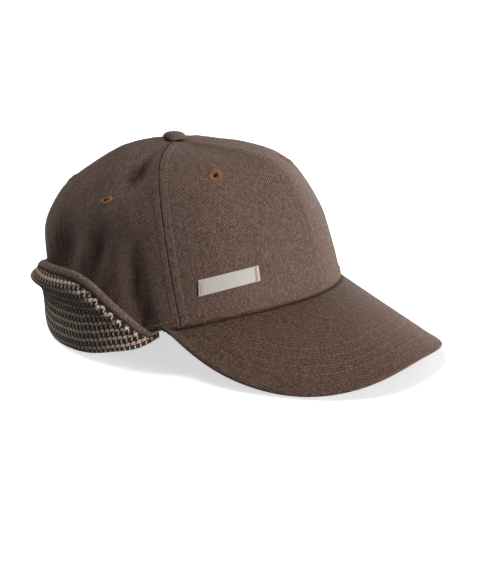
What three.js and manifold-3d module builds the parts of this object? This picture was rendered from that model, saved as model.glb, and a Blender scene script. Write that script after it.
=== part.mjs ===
// Earflap baseball cap with its flap turned up, resting on a table.
// Millimetres and degrees. The front is -Y, the wearer's left is +X, up is +Z, the table is z = 0.
// Angles run round the crown from the front seam, over the wearer's right side (90), to the back seam (180).

import * as THREE from 'three';
import { mergeVertices } from 'three/addons/utils/BufferGeometryUtils.js';
import Module from 'manifold-3d';

const wasm = await Module();
wasm.setup();

// Driving dimensions

const GAP = 0.3;
const ORIGIN_SHIFT = 32;
const STEP = { angle: 0.5, share: 0.01 };

const CROWN = { halfWidth: 89.5, halfLength: 99.5, apexHeight: 120, apexBack: 12.3, wall: 1.6 };

// Profile of the crown from hem to top: height gained, and radius towards the front, side and back.
// The last row lies past the top, down the other side.
const PROFILE = [
  { share: 0.00, rise: 0.00, front: 1.000, side: 1.000, back: 1.000 },
  { share: 0.17, rise: 0.25, front: 0.945, side: 0.955, back: 0.985 },
  { share: 0.33, rise: 0.50, front: 0.885, side: 0.885, back: 1.005 },
  { share: 0.50, rise: 0.72, front: 0.790, side: 0.775, back: 0.835 },
  { share: 0.67, rise: 0.88, front: 0.695, side: 0.630, back: 0.530 },
  { share: 0.83, rise: 0.965, front: 0.515, side: 0.420, back: 0.325 },
  { share: 1.00, rise: 1.00, front: 0.000, side: 0.000, back: 0.000 },
  { share: 1.17, rise: 0.965, front: -0.515, side: -0.420, back: -0.325 },
];

// Height of the hem round the crown, and how far the turned-up flap draws it in.
const HEM = [
  { angle: 0, height: 40.0, tuck: 0.0 },
  { angle: 20, height: 39.2, tuck: 0.0 },
  { angle: 40, height: 35.8, tuck: 0.0 },
  { angle: 60, height: 28.4, tuck: 0.0 },
  { angle: 75, height: 20.0, tuck: 0.0 },
  { angle: 90, height: 13.5, tuck: 1.5 },
  { angle: 110, height: 9.8, tuck: 4.5 },
  { angle: 135, height: 8.4, tuck: 7.0 },
  { angle: 180, height: 8.0, tuck: 7.0 },
];
const TUCK_REACH = 0.4;

// Angles of the panel seams at the hem and at the top, and their bow between.
const SEAMS = [
  { hem: 0, top: 0, bow: 0 },
  { hem: 58.8, top: 74.7, bow: 0 },
  { hem: 108, top: 122, bow: 17 },
  { hem: 180, top: 180, bow: 0 },
];

// Hollows (minus) and swells (plus) of the slack cloth on the wearer's right; the left has a share of them.
const FOLDS = [
  { angle: 85.0, share: 0.66, halfAngle: 8.5, halfShare: 0.10, depth: -6.0 },
  { angle: 81.5, share: 0.77, halfAngle: 5.0, halfShare: 0.08, depth: -4.0 },
  { angle: 78.0, share: 0.28, halfAngle: 4.0, halfShare: 0.10, depth: -2.8 },
  { angle: 76.0, share: 0.16, halfAngle: 3.8, halfShare: 0.09, depth: -3.8 },
  { angle: 72.5, share: 0.05, halfAngle: 3.6, halfShare: 0.07, depth: -3.6 },
  { angle: 95.0, share: 0.31, halfAngle: 4.5, halfShare: 0.09, depth: -4.2 },
  { angle: 102.5, share: 0.28, halfAngle: 3.5, halfShare: 0.10, depth: 1.4 },
  { angle: 117.5, share: 0.28, halfAngle: 10.5, halfShare: 0.13, depth: -7.5 },
  { angle: 100.0, share: 0.46, halfAngle: 9.0, halfShare: 0.08, depth: 1.4 },
];
const LEFT_FOLDS = 0.6;

// Swell along the front seam, the same on both sides.
const RIDGE = { angle: 0, share: 0.55, halfAngle: 15, halfShare: 0.34, depth: 3.0 };

const PANEL = { rows: 13, columns: { front: 6, side: 12, back: 6 }, top: 0.98, leastRadius: 0.03 };

// Eyelets: how far across the right and the left panel each is, its share of the height, and how it is pulled
// out of round: stretched the long way, squashed (or widened) the short way, and the long way's tilt.
const EYELETS = [
  { panel: 'front', right: 0.55, left: 0.38, share: 0.69, stretch: 1.35, squash: 1.15, tilt: 90 },
  { panel: 'side', right: 0.45, left: 0.45, share: 0.53, stretch: 1.15, squash: 0.6, tilt: 27 },
  { panel: 'back', right: 0.55, left: 0.55, share: 0.52, stretch: 1, squash: 1, tilt: 0 },
];
const EYELET = { outer: 3.9, hole: 1.3, proud: 0.9, sides: 12, wireSides: 6 };

// The covered button; its dome has rows from the skirt to the top, as shares of its radius and height.
const BUTTON = { radius: 7.2, height: 4.4, skirt: 1.4, shank: 2.0, shankDepth: 3.2, lift: 0.6, sides: 18 };
const DOME = [
  { radius: 0.92, height: 0.55 },
  { radius: 0.68, height: 0.85 },
  { radius: 0.35, height: 0.97 },
  { radius: 0.00, height: 1.00 },
];

const PEAK = {
  halfWidth: 84.5, length: 75, slope: 22, arch: 36, archPower: 2.3, outlinePower: 2.95,
  reach: 65, over: 0.7, under: 2.1, rim: 0.5, ending: 0.5, columns: 30, rows: 7,
};

// The flap round the back: underside of its fold, height of its edge, outer face of its body and lip off the
// hem, how far the lip turns in again at the edge, radius of its turn and size of its rolled edge.
const FLAP = [
  { angle: 67, fold: 20.6, edge: 24.0, body: 2.0, lip: 2.0, inturn: 0.0, turn: 1.0, roll: 0.3 },
  { angle: 70, fold: 16.8, edge: 25.0, body: 3.0, lip: 3.1, inturn: 0.05, turn: 1.2, roll: 0.6 },
  { angle: 75, fold: 12.4, edge: 30.5, body: 3.8, lip: 4.4, inturn: 0.3, turn: 1.8, roll: 0.9 },
  { angle: 84, fold: 8.0, edge: 41.5, body: 5.0, lip: 7.0, inturn: 1.0, turn: 2.2, roll: 1.0 },
  { angle: 92, fold: 4.2, edge: 50.0, body: 5.8, lip: 8.6, inturn: 1.4, turn: 2.5, roll: 1.0 },
  { angle: 100, fold: 1.8, edge: 53.5, body: 6.2, lip: 9.8, inturn: 1.6, turn: 2.6, roll: 1.0 },
  { angle: 116, fold: -0.4, edge: 52.0, body: 6.4, lip: 12.0, inturn: 2.4, turn: 2.6, roll: 1.0 },
  { angle: 128, fold: -0.5, edge: 49.5, body: 6.4, lip: 13.6, inturn: 3.2, turn: 2.6, roll: 1.0 },
  { angle: 140, fold: -0.6, edge: 43.5, body: 6.2, lip: 14.4, inturn: 3.6, turn: 2.6, roll: 1.0 },
  { angle: 160, fold: -0.6, edge: 38.0, body: 6.2, lip: 13.2, inturn: 3.0, turn: 2.6, roll: 1.0 },
  { angle: 180, fold: -0.6, edge: 36.5, body: 6.2, lip: 12.4, inturn: 2.6, turn: 2.6, roll: 1.0 },
];

// Section of the turned-up leg from the fold to the edge: how much of the body, lip and inturn it has.
const LEG = [
  { share: 0.00, body: 0.0, lip: 0.00, inturn: 0 },
  { share: 0.15, body: 0.7, lip: 0.00, inturn: 0 },
  { share: 0.35, body: 1.0, lip: 0.00, inturn: 0 },
  { share: 0.52, body: 1.0, lip: 0.06, inturn: 0 },
  { share: 0.66, body: 1.0, lip: 0.22, inturn: 0 },
  { share: 0.78, body: 1.0, lip: 0.80, inturn: 0 },
  { share: 0.88, body: 1.0, lip: 1.00, inturn: 0 },
  { share: 1.00, body: 1.0, lip: 1.00, inturn: 1 },
];
const FLAP_CLOTH = { layer: 1.2, stations: 44, turnSteps: 5, leastLeg: 0.6, underHem: 0.8, crowding: 0.45 };
const EDGE = { halfWidth: 2.2, halfHeight: 2.9, sides: 8 };

// The label: its middle, its spread in degrees and shares of the height, and its lean along its length.
const LABEL = {
  angle: 40.5, share: 0.158, spread: 23.5, lean: 0.018, height: 0.069, thickness: 0.8, columns: 8, rows: 2,
};

const COLOURS = { cloth: 0x625048, lining: 0x5a4c43, edge: 0x6a5750, thread: 0x8f6a43, label: 0xb9b5ae };

// Curves through the tables

const radians = THREE.MathUtils.degToRad;

/** Value of a column at a place along the rows: a smooth curve through all of them. */
function along(rows, placeKey, column, place) {
  const last = rows.length - 1;
  const slope = (index) => {
    const before = rows[Math.max(index - 1, 0)];
    const after = rows[Math.min(index + 1, last)];
    return (after[column] - before[column]) / (after[placeKey] - before[placeKey]);
  };
  let index = 0;
  while (index < last - 1 && place > rows[index + 1][placeKey]) index += 1;
  const from = rows[index];
  const to = rows[index + 1];
  const width = to[placeKey] - from[placeKey];
  const t = THREE.MathUtils.clamp((place - from[placeKey]) / width, 0, 1);
  const rest = 1 - t;
  const start = from[column] * (1 + 2 * t) + width * slope(index) * t;
  const end = to[column] * (3 - 2 * t) - width * slope(index + 1) * rest;
  return start * rest * rest + end * t * t;
}

/** Angle folded to the wearer's right side, where the tables are. */
function sideAngle(angle) {
  return Math.abs(angle);
}

// The crown

/** Point of the hem in plan, with the part of the tuck that is left at this share of the height. */
function planPoint(angle, tuckLeft) {
  const tuck = along(HEM, 'angle', 'tuck', sideAngle(angle)) * tuckLeft;
  const turn = radians(angle);
  const x = -(CROWN.halfWidth - tuck) * Math.sin(turn);
  const y = -(CROWN.halfLength - tuck) * Math.cos(turn);
  return new THREE.Vector2(x, y);
}

/** Height of the hem at an angle. */
function hemHeight(angle) {
  return along(HEM, 'angle', 'height', sideAngle(angle));
}

/** Point of the hem, offset outwards in plan. */
function hemPoint(angle, offset) {
  const plan = planPoint(angle, 1);
  const step = planPoint(angle + STEP.angle, 1).sub(planPoint(angle - STEP.angle, 1)).normalize();
  return new THREE.Vector3(plan.x - step.y * offset, plan.y + step.x * offset, hemHeight(angle));
}

/** Radius of the profile at an angle: front, side and back blended round the crown. */
function profileRadius(angle, share) {
  const facing = Math.cos(radians(angle));
  const end = along(PROFILE, 'share', facing > 0 ? 'front' : 'back', share);
  const side = along(PROFILE, 'share', 'side', share);
  return side + (end - side) * facing * facing;
}

/** Point of the crown's outer face without its folds. */
function smoothCrown(angle, share) {
  const tuckLeft = Math.max(0, 1 - share / TUCK_REACH) ** 2;
  const plan = planPoint(angle, tuckLeft);
  const radius = profileRadius(angle, share);
  const hem = hemHeight(angle);
  const height = hem + (CROWN.apexHeight - hem) * along(PROFILE, 'share', 'rise', share);
  return new THREE.Vector3(plan.x * radius, CROWN.apexBack + (plan.y - CROWN.apexBack) * radius, height);
}

/** Outward direction of a face given by two parameters, from small steps along both. */
function outward(point, first, second, firstStep, secondStep) {
  const across = point(first + firstStep, second).sub(point(first - firstStep, second));
  const up = point(first, second + secondStep).sub(point(first, second - secondStep));
  return up.cross(across).normalize();
}

/** Outward direction of the crown. */
function crownNormal(angle, share) {
  const within = THREE.MathUtils.clamp(share, STEP.share, PANEL.top);
  return outward(smoothCrown, angle, within, STEP.angle, STEP.share);
}

/** Depth of one hollow or swell at a place. */
function swell(fold, angle, share) {
  const across = (sideAngle(angle) - fold.angle) / fold.halfAngle;
  const up = (share - fold.share) / fold.halfShare;
  return fold.depth * Math.exp(-across * across - up * up);
}

/** How far the cloth stands off the smooth crown at a place. */
function foldDepth(angle, share) {
  const strength = angle < 0 ? LEFT_FOLDS : 1;
  const slack = FOLDS.reduce((depth, fold) => depth + swell(fold, angle, share), 0);
  return slack * strength + swell(RIDGE, angle, share);
}

/** Point of the crown, offset outwards by a distance from its outer face. */
function crownPoint(angle, share, offset = 0) {
  const distance = foldDepth(angle, share) + offset;
  return smoothCrown(angle, share).addScaledVector(crownNormal(angle, share), distance);
}

/** Angle of a seam at a share of the height. */
function seamAngle(seam, share) {
  return seam.hem + (seam.top - seam.hem) * share + 4 * seam.bow * share * (1 - share);
}

/** Angle at a share across a panel, clear of its neighbours by half the gap on each side. */
function panelAngle(panel, side, across, share) {
  const from = seamAngle(SEAMS[panel], share);
  const to = seamAngle(SEAMS[panel + 1], share);
  const radius = CROWN.halfWidth * Math.max(profileRadius(from, share), PANEL.leastRadius);
  const clear = THREE.MathUtils.radToDeg(GAP / 2 / radius);
  return side * (from + clear + (to - from - 2 * clear) * across);
}

// Closed meshes

/** Geometry from points and triangles. */
function geometryOf(points, triangles) {
  const geometry = new THREE.BufferGeometry().setFromPoints(points);
  geometry.setIndex(triangles);
  return geometry;
}

/** Grid of points from a function of two shares. */
function grid(columns, rows, pointAt) {
  const lines = [];
  for (let row = 0; row <= rows; row += 1) {
    const line = [];
    for (let column = 0; column <= columns; column += 1) line.push(pointAt(column / columns, row / rows));
    lines.push(line);
  }
  return lines;
}

/** Closed wall between an outer and an inner grid of the same size. */
function wall(outer, inner) {
  const rows = outer.length;
  const columns = outer[0].length;
  const size = rows * columns;
  const points = [...outer.flat(), ...inner.flat()];
  const triangles = [];
  const quad = (a, b, c, d) => triangles.push(a, b, c, a, c, d);
  const at = (row, column) => row * columns + column;
  for (let row = 0; row < rows - 1; row += 1) {
    for (let column = 0; column < columns - 1; column += 1) {
      const corners = [at(row, column), at(row, column + 1), at(row + 1, column + 1), at(row + 1, column)];
      quad(...corners);
      quad(...corners.map((corner) => corner + size).reverse());
    }
  }
  const rim = [];
  for (let column = 0; column < columns - 1; column += 1) rim.push(at(0, column));
  for (let row = 0; row < rows - 1; row += 1) rim.push(at(row, columns - 1));
  for (let column = columns - 1; column > 0; column -= 1) rim.push(at(rows - 1, column));
  for (let row = rows - 1; row > 0; row -= 1) rim.push(at(row, 0));
  rim.forEach((corner, index) => {
    const next = rim[(index + 1) % rim.length];
    quad(corner, corner + size, next + size, next);
  });
  return turnedOut(geometryOf(points, triangles));
}

/** Closed tube through rings of the same size, its ends closed to their middles. */
function tube(rings) {
  const sides = rings[0].length;
  const points = rings.flat();
  const triangles = [];
  for (let ring = 0; ring < rings.length - 1; ring += 1) {
    for (let side = 0; side < sides; side += 1) {
      const a = ring * sides + side;
      const b = ring * sides + (side + 1) % sides;
      triangles.push(a, b, b + sides, a, b + sides, a + sides);
    }
  }
  for (const [ring, flip] of [[0, true], [rings.length - 1, false]]) {
    const middle = new THREE.Vector3();
    rings[ring].forEach((point) => middle.addScaledVector(point, 1 / sides));
    points.push(middle);
    for (let side = 0; side < sides; side += 1) {
      const a = ring * sides + side;
      const b = ring * sides + (side + 1) % sides;
      triangles.push(...(flip ? [b, a] : [a, b]), points.length - 1);
    }
  }
  return turnedOut(geometryOf(points, triangles));
}

/** Volume that a closed geometry's triangles enclose, minus where they face in. */
function signedVolume(geometry) {
  const position = geometry.attributes.position;
  const corner = (index) => new THREE.Vector3().fromBufferAttribute(position, geometry.index.getX(index));
  let volume = 0;
  for (let index = 0; index < geometry.index.count; index += 3) {
    volume += corner(index).dot(corner(index + 1).cross(corner(index + 2))) / 6;
  }
  return volume;
}

/** The geometry with its faces pointing out. */
function turnedOut(geometry) {
  if (signedVolume(geometry) < 0) geometry.index.array.reverse();
  return geometry;
}

/** Solid of a closed geometry. */
function solidOf(geometry) {
  const bare = geometry.clone();
  bare.deleteAttribute('normal');
  bare.deleteAttribute('uv');
  const merged = mergeVertices(bare);
  return new wasm.Manifold(new wasm.Mesh({
    numProp: 3,
    vertProperties: new Float32Array(merged.attributes.position.array),
    triVerts: new Uint32Array(merged.index.array),
  }));
}

/** A geometry with another cut out of it. */
function cut(geometry, tool) {
  const mesh = solidOf(geometry).subtract(solidOf(tool)).getMesh();
  const result = new THREE.BufferGeometry();
  result.setAttribute('position', new THREE.BufferAttribute(new Float32Array(mesh.vertProperties), 3));
  result.setIndex(Array.from(mesh.triVerts));
  return result;
}

/** Named mesh of one piece. */
function piece(name, geometry, color) {
  const material = new THREE.MeshStandardMaterial({ color, roughness: 0.9, metalness: 0 });
  const mesh = new THREE.Mesh(geometry, material);
  mesh.name = name;
  return mesh;
}

// Pieces of the crown

const SIDES = [{ name: 'right', sign: 1 }, { name: 'left', sign: -1 }];
const PANELS = ['front', 'side', 'back'];

/** Frame of an eyelet in the middle of the wall: its long way, its short way and the way that it faces. */
function eyeletFrame(eyelet, sign) {
  const across = sign > 0 ? eyelet.right : eyelet.left;
  const angle = panelAngle(PANELS.indexOf(eyelet.panel), sign, across, eyelet.share);
  const facing = outward(crownPoint, angle, eyelet.share, STEP.angle, STEP.share);
  const point = crownPoint(angle, eyelet.share).addScaledVector(facing, -CROWN.wall / 2);
  const level = new THREE.Vector3(0, 0, 1).cross(facing).normalize();
  const long = level.applyAxisAngle(facing, sign * radians(eyelet.tilt));
  const short = facing.clone().cross(long);
  const frame = new THREE.Matrix4().makeBasis(long, short, facing).setPosition(point);
  return frame.scale(new THREE.Vector3(eyelet.stretch, eyelet.squash, 1));
}

/** One panel of the crown with its air hole. */
function panelGeometry(index, sign) {
  const face = (offset) => grid(PANEL.columns[PANELS[index]], PANEL.rows, (across, up) => {
    const share = up * PANEL.top;
    return crownPoint(panelAngle(index, sign, across, share), share, offset);
  });
  const eyelet = EYELETS[index];
  const radius = EYELET.outer + GAP / eyelet.squash;
  const hole = new THREE.CylinderGeometry(radius, radius, 4 * CROWN.wall, EYELET.sides);
  hole.rotateX(Math.PI / 2);
  hole.applyMatrix4(eyeletFrame(eyelet, sign));
  return cut(wall(face(0), face(-CROWN.wall)), hole);
}

/** One sewn eyelet: a thread ring in the panel's hole. */
function eyeletMesh(eyelet, side) {
  const wire = (EYELET.outer - EYELET.hole) / 2;
  const ring = new THREE.TorusGeometry(EYELET.hole + wire, wire, EYELET.wireSides, EYELET.sides);
  ring.scale(1, 1, (CROWN.wall / 2 + EYELET.proud / 2) / wire);
  ring.applyMatrix4(eyeletFrame(eyelet, side.sign));
  return piece(`eyelet_${eyelet.panel}_${side.name}`, ring, COLOURS.thread);
}

/** The covered button with its shank through the top of the crown. */
function buttonMesh() {
  const { radius, height, skirt, shank, shankDepth } = BUTTON;
  const profile = [
    new THREE.Vector2(0, -shankDepth),
    new THREE.Vector2(shank, -shankDepth),
    new THREE.Vector2(shank, 0),
    new THREE.Vector2(radius - skirt / 2, 0),
    new THREE.Vector2(radius, skirt),
    ...DOME.map((row) => new THREE.Vector2(radius * row.radius, height * row.height)),
  ];
  const lathe = new THREE.LatheGeometry(profile, BUTTON.sides);
  lathe.rotateX(Math.PI / 2);
  const mesh = piece('top_button', lathe, COLOURS.cloth);
  mesh.position.set(0, CROWN.apexBack, CROWN.apexHeight + BUTTON.lift);
  return mesh;
}

/** The bare label on the front right panel. */
function labelMesh() {
  const face = (offset) => grid(LABEL.columns, LABEL.rows, (across, up) => {
    const angle = LABEL.angle + LABEL.spread * (0.5 - across);
    const share = LABEL.share + LABEL.lean * (across - 0.5) + LABEL.height * (up - 0.5);
    return crownPoint(angle, share, offset);
  });
  return piece('label', wall(face(GAP + LABEL.thickness), face(GAP)), COLOURS.label);
}

// The peak

/** Point of the arched sheet that the peak is cut from: x across, and how far forward of the hem. */
function peakSheet(x, forward) {
  const slope = radians(PEAK.slope);
  const drop = PEAK.arch * (Math.abs(x) / PEAK.halfWidth) ** PEAK.archPower;
  const y = -CROWN.halfLength - forward * Math.cos(slope) + drop * Math.sin(slope);
  const z = HEM[0].height - forward * Math.sin(slope) - drop * Math.cos(slope);
  return new THREE.Vector3(x, y, z);
}

/** How far forward on the sheet the hem lies at a place across. */
function hemForward(x, y) {
  const slope = radians(PEAK.slope);
  const drop = PEAK.arch * (Math.abs(x) / PEAK.halfWidth) ** PEAK.archPower;
  return (-CROWN.halfLength - y + drop * Math.sin(slope)) / Math.cos(slope);
}

/** Point of the peak, from its left (-1) to its right (1) and out from the hem (0) to the rim (1). */
function peakPoint(across, out) {
  const angle = across * PEAK.reach;
  const hem = hemPoint(angle, GAP);
  const hemOut = hemForward(hem.x, hem.y);
  const corner = hemPoint(PEAK.reach, GAP);
  const cornerOut = hemForward(corner.x, corner.y);
  const turn = across * Math.PI / 2;
  const power = 2 / PEAK.outlinePower;
  const wide = Math.abs(Math.sin(turn)) ** power;
  const far = Math.abs(Math.cos(turn)) ** power;
  const leave = Math.min(far / PEAK.ending, 1);
  const edge = THREE.MathUtils.lerp(Math.abs(corner.x), PEAK.halfWidth * wide, leave * (2 - leave));
  const rimX = -Math.sign(across) * edge;
  const rimOut = cornerOut + (PEAK.length - cornerOut) * far;
  const point = peakSheet(hem.x + (rimX - hem.x) * out, hemOut + (rimOut - hemOut) * out);
  const settle = (1 - out) ** 2;
  point.z += (hemHeight(angle) - peakSheet(hem.x, hemOut).z) * settle;
  return point;
}

/** Upward direction of the peak, upright along the hem. */
function peakNormal(across, out) {
  if (out === 0) return new THREE.Vector3(0, 0, 1);
  const within = THREE.MathUtils.clamp(across, STEP.share - 1, 1 - STEP.share);
  const facing = outward(peakPoint, within, Math.min(out, 1 - STEP.share), STEP.share, STEP.share);
  return facing.z < 0 ? facing.negate() : facing;
}

/** The covered peak, thinner at its rim. */
function peakMesh() {
  const face = (offset) => grid(PEAK.columns, PEAK.rows, (share, out) => {
    const across = share * 2 - 1;
    const facing = peakNormal(across, out);
    const thin = out === 1 || share === 0 || share === 1 ? PEAK.rim : 1;
    return peakPoint(across, out).addScaledVector(facing, offset * thin);
  });
  return piece('peak', wall(face(PEAK.over), face(-PEAK.under)), COLOURS.cloth);
}

// The turned-up flap

/** Middle line of the flap's section at an angle, as offset from the hem and height: down, round and up. */
function flapSection(angle) {
  const at = (column) => along(FLAP, 'angle', column, sideAngle(angle));
  const half = FLAP_CLOTH.layer + GAP / 2;
  const turn = at('turn');
  const start = -half;
  const middle = at('fold') + half + turn;
  const line = [new THREE.Vector2(start, Math.max(hemHeight(angle) - FLAP_CLOTH.underHem, middle + GAP))];
  for (let step = 0; step <= FLAP_CLOTH.turnSteps; step += 1) {
    const round = Math.PI * (1 + step / FLAP_CLOTH.turnSteps);
    line.push(new THREE.Vector2(start + turn + turn * Math.cos(round), middle + turn * Math.sin(round)));
  }
  const legStart = start + 2 * turn;
  const legTop = at('edge') - 2 * EDGE.halfHeight * at('roll') - GAP;
  const legHeight = Math.max(legTop - middle, FLAP_CLOTH.leastLeg);
  for (const row of LEG.slice(1)) {
    const body = (at('body') - half - legStart) * row.body;
    const lip = (at('lip') - at('body')) * row.lip;
    const inturn = at('inturn') * row.inturn;
    line.push(new THREE.Vector2(legStart + body + lip - inturn, middle + legHeight * row.share));
  }
  return line;
}

/** Outward side of each point of a section line: right of the way down, round and up. */
function sectionNormals(line) {
  return line.map((point, index) => {
    const before = line[Math.max(index - 1, 0)];
    const after = line[Math.min(index + 1, line.length - 1)];
    const way = after.clone().sub(before).normalize();
    return new THREE.Vector2(way.y, -way.x);
  });
}

/** Point of the flap at an angle, from an offset off the hem and a height, never below the table. */
function flapPoint(angle, offset, height) {
  const point = hemPoint(angle, offset);
  point.z = Math.max(height, 0);
  return point;
}

/** Angle of a station's share, from the wearer's right round the back to the left; they crowd at the tips. */
function flapAngle(share) {
  const eased = share - FLAP_CLOTH.crowding * Math.sin(2 * Math.PI * share) / (2 * Math.PI);
  const angle = THREE.MathUtils.lerp(FLAP[0].angle, 360 - FLAP[0].angle, eased);
  return angle > 180 ? angle - 360 : angle;
}

/** One cloth layer of the flap between two offsets from its middle line. */
function flapLayer(name, near, far, color) {
  const sections = [];
  for (let station = 0; station <= FLAP_CLOTH.stations; station += 1) {
    const angle = flapAngle(station / FLAP_CLOTH.stations);
    const line = flapSection(angle);
    sections.push({ angle, line, normals: sectionNormals(line) });
  }
  const face = (offset) => sections.map(({ angle, line, normals }) => line.map((point, index) => {
    const moved = point.clone().addScaledVector(normals[index], offset);
    return flapPoint(angle, moved.x, moved.y);
  }));
  return piece(name, wall(face(far), face(near)), color);
}

/** The rolled edge along the top of the flap. */
function flapEdge() {
  const rings = [];
  for (let station = 0; station <= FLAP_CLOTH.stations; station += 1) {
    const angle = flapAngle(station / FLAP_CLOTH.stations);
    const line = flapSection(angle);
    const end = line.at(-1);
    const way = end.clone().sub(line.at(-2)).normalize();
    const roll = along(FLAP, 'angle', 'roll', sideAngle(angle));
    const middle = end.clone().addScaledVector(way, EDGE.halfHeight * roll + GAP);
    const ring = [];
    for (let side = 0; side < EDGE.sides; side += 1) {
      const round = 2 * Math.PI * side / EDGE.sides;
      const out = EDGE.halfWidth * roll * Math.cos(round);
      const up = EDGE.halfHeight * roll * Math.sin(round);
      ring.push(flapPoint(angle, middle.x + way.y * out + way.x * up, middle.y - way.x * out + way.y * up));
    }
    rings.push(ring);
  }
  return piece('earflap_edge', tube(rings), COLOURS.edge);
}

// The whole cap

const cap = new THREE.Group();
for (const side of SIDES) {
  PANELS.forEach((name, index) => {
    cap.add(piece(`${name}_${side.name}_panel`, panelGeometry(index, side.sign), COLOURS.cloth));
  });
  EYELETS.forEach((eyelet) => cap.add(eyeletMesh(eyelet, side)));
}
cap.add(buttonMesh());
cap.add(labelMesh());
cap.add(peakMesh());
cap.add(flapLayer('earflap_shell', -GAP / 2 - FLAP_CLOTH.layer, -GAP / 2, COLOURS.cloth));
cap.add(flapLayer('earflap_lining', GAP / 2, GAP / 2 + FLAP_CLOTH.layer, COLOURS.lining));
cap.add(flapEdge());
cap.position.y = ORIGIN_SHIFT;

export default cap;
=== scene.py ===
"""Looks of an earflap baseball cap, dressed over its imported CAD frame.

The shape classes work in millimetres in the design frame, whose middle is the crown's; meshes are made in
metres in the part's frame. The front is -Y, the wearer's left is +X and up is +Z. Angles are degrees round
the crown from the front seam over the wearer's right side (90) to the back seam (180), and negative on the
left. A share runs from 0 at the crown's hem to 1 at its top.
"""

import logging
import math
import sys
from dataclasses import dataclass, field, replace
from enum import Enum
from typing import Callable, Sequence

import bpy
import numpy as np
from mathutils import Matrix, Vector

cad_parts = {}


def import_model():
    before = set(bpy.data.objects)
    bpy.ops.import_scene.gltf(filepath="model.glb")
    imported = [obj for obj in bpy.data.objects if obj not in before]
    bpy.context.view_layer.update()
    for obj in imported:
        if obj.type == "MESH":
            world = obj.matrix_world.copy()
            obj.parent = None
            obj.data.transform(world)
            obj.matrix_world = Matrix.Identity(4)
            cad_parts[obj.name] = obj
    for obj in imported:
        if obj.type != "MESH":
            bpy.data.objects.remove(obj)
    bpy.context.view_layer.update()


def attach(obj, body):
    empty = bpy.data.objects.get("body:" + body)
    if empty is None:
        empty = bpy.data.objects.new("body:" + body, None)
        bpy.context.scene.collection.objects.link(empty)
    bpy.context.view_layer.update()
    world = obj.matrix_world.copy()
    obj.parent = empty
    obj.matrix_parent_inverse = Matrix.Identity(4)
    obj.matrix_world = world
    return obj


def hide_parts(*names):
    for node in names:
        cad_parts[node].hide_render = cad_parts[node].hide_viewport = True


Array = np.ndarray
Colour = tuple[float, float, float, float]
LOG = logging.getLogger("cap")
MM = 0.001
# The part's origin lies this far in front of the crown's middle, in millimetres.
ORIGIN_SHIFT = 32.0
# Names of a mesh's flat cloth places, of its seam shares, which carry painted shade, and of the CAD body
# that carries the cap.
WEAVE = "weave"
PAINTED_SHADE = "seam"
BODY = "root"


class Side(Enum):
    """The wearer's side of a piece, with the sign of its angles."""

    RIGHT = 1
    LEFT = -1


class PanelKind(Enum):
    """A panel of one side of the crown, by the number of the seam that it starts at."""

    FRONT = 0
    SIDE = 1
    BACK = 2


class Slot(Enum):
    """Material slots of the pieces."""

    TWILL = "brown_twill"
    LINING = "houndstooth"
    THREAD = "tan_thread"
    LABEL = "label_cloth"


def smoothstep(value: Array, low: Array, high: Array) -> Array:
    """Smooth step from 0 at low to 1 at high."""
    t = np.clip((value - low) / (high - low), 0.0, 1.0)
    return t * t * (3.0 - 2.0 * t)


def bell(value: Array, half: float) -> Array:
    """Bell curve with its top of 1 at zero."""
    return np.exp(-((value / half) ** 2))


def unit(vectors: Array) -> Array:
    """Vectors along the last axis, made one long."""
    return vectors / np.maximum(np.linalg.norm(vectors, axis=-1, keepdims=True), 1e-9)


def full_turn(count: int) -> Array:
    """Angles in radians that divide a full turn."""
    return 2.0 * np.pi * np.arange(count) / count


def around(turn: Array, first: Array, second: Array) -> Array:
    """Directions at angles from a first way towards a second."""
    return np.cos(turn)[:, None] * first + np.sin(turn)[:, None] * second


def from_ends(share: Array) -> Array:
    """Shares counted from the nearer end."""
    return np.minimum(share, 1.0 - share)


def lengths_along(points: Array) -> Array:
    """Distances along lines of points from their starts; the lines run along the axis before the last."""
    steps = np.linalg.norm(np.diff(points, axis=-2), axis=-1)
    return np.concatenate([np.zeros_like(steps[..., :1]), np.cumsum(steps, axis=-1)], -1)


def hermite(places: Array, values: Array, place: Array) -> Array:
    """Smooth curve through rows of numbers.

    Args:
        places: Places of the rows, rising.
        values: Values at the rows.
        place: Places to read.

    Returns:
        The curve's values there.
    """
    last = len(places) - 1
    count = np.arange(last + 1)
    before, after = np.maximum(count - 1, 0), np.minimum(count + 1, last)
    slopes = (values[after] - values[before]) / (places[after] - places[before])
    index = np.searchsorted(places[1:last], place, side="left")
    width = places[index + 1] - places[index]
    t = np.clip((place - places[index]) / width, 0.0, 1.0)
    start = values[index] * (1.0 + 2.0 * t) + width * slopes[index] * t
    end = values[index + 1] * (3.0 - 2.0 * t) - width * slopes[index + 1] * (1.0 - t)
    return start * (1.0 - t) ** 2 + end * t**2


@dataclass(frozen=True)
class Table:
    """A short table of a curve; its first column is the place along it."""

    names: tuple[str, ...]
    rows: tuple[tuple[float, ...], ...]

    def at(self, column: str, place: Array) -> Array:
        """Value of a column at places along the table.

        Args:
            column: Name of the column.
            place: Places to read.

        Returns:
            The column's values there, on a smooth curve through the rows.
        """
        table = np.array(self.rows)
        return hermite(table[:, 0], table[:, self.names.index(column)], np.asarray(place, float))


@dataclass(frozen=True)
class Seam:
    """A seam of the crown: its angle at the hem and the top, its bow, and how open it looks."""

    hem: float
    top: float
    bow: float
    open: float

    def angle_at(self, share: Array) -> Array:
        """Angles of the seam at shares of the height."""
        share = np.asarray(share)
        return self.hem + (self.top - self.hem) * share + 4.0 * self.bow * share * (1.0 - share)


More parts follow.
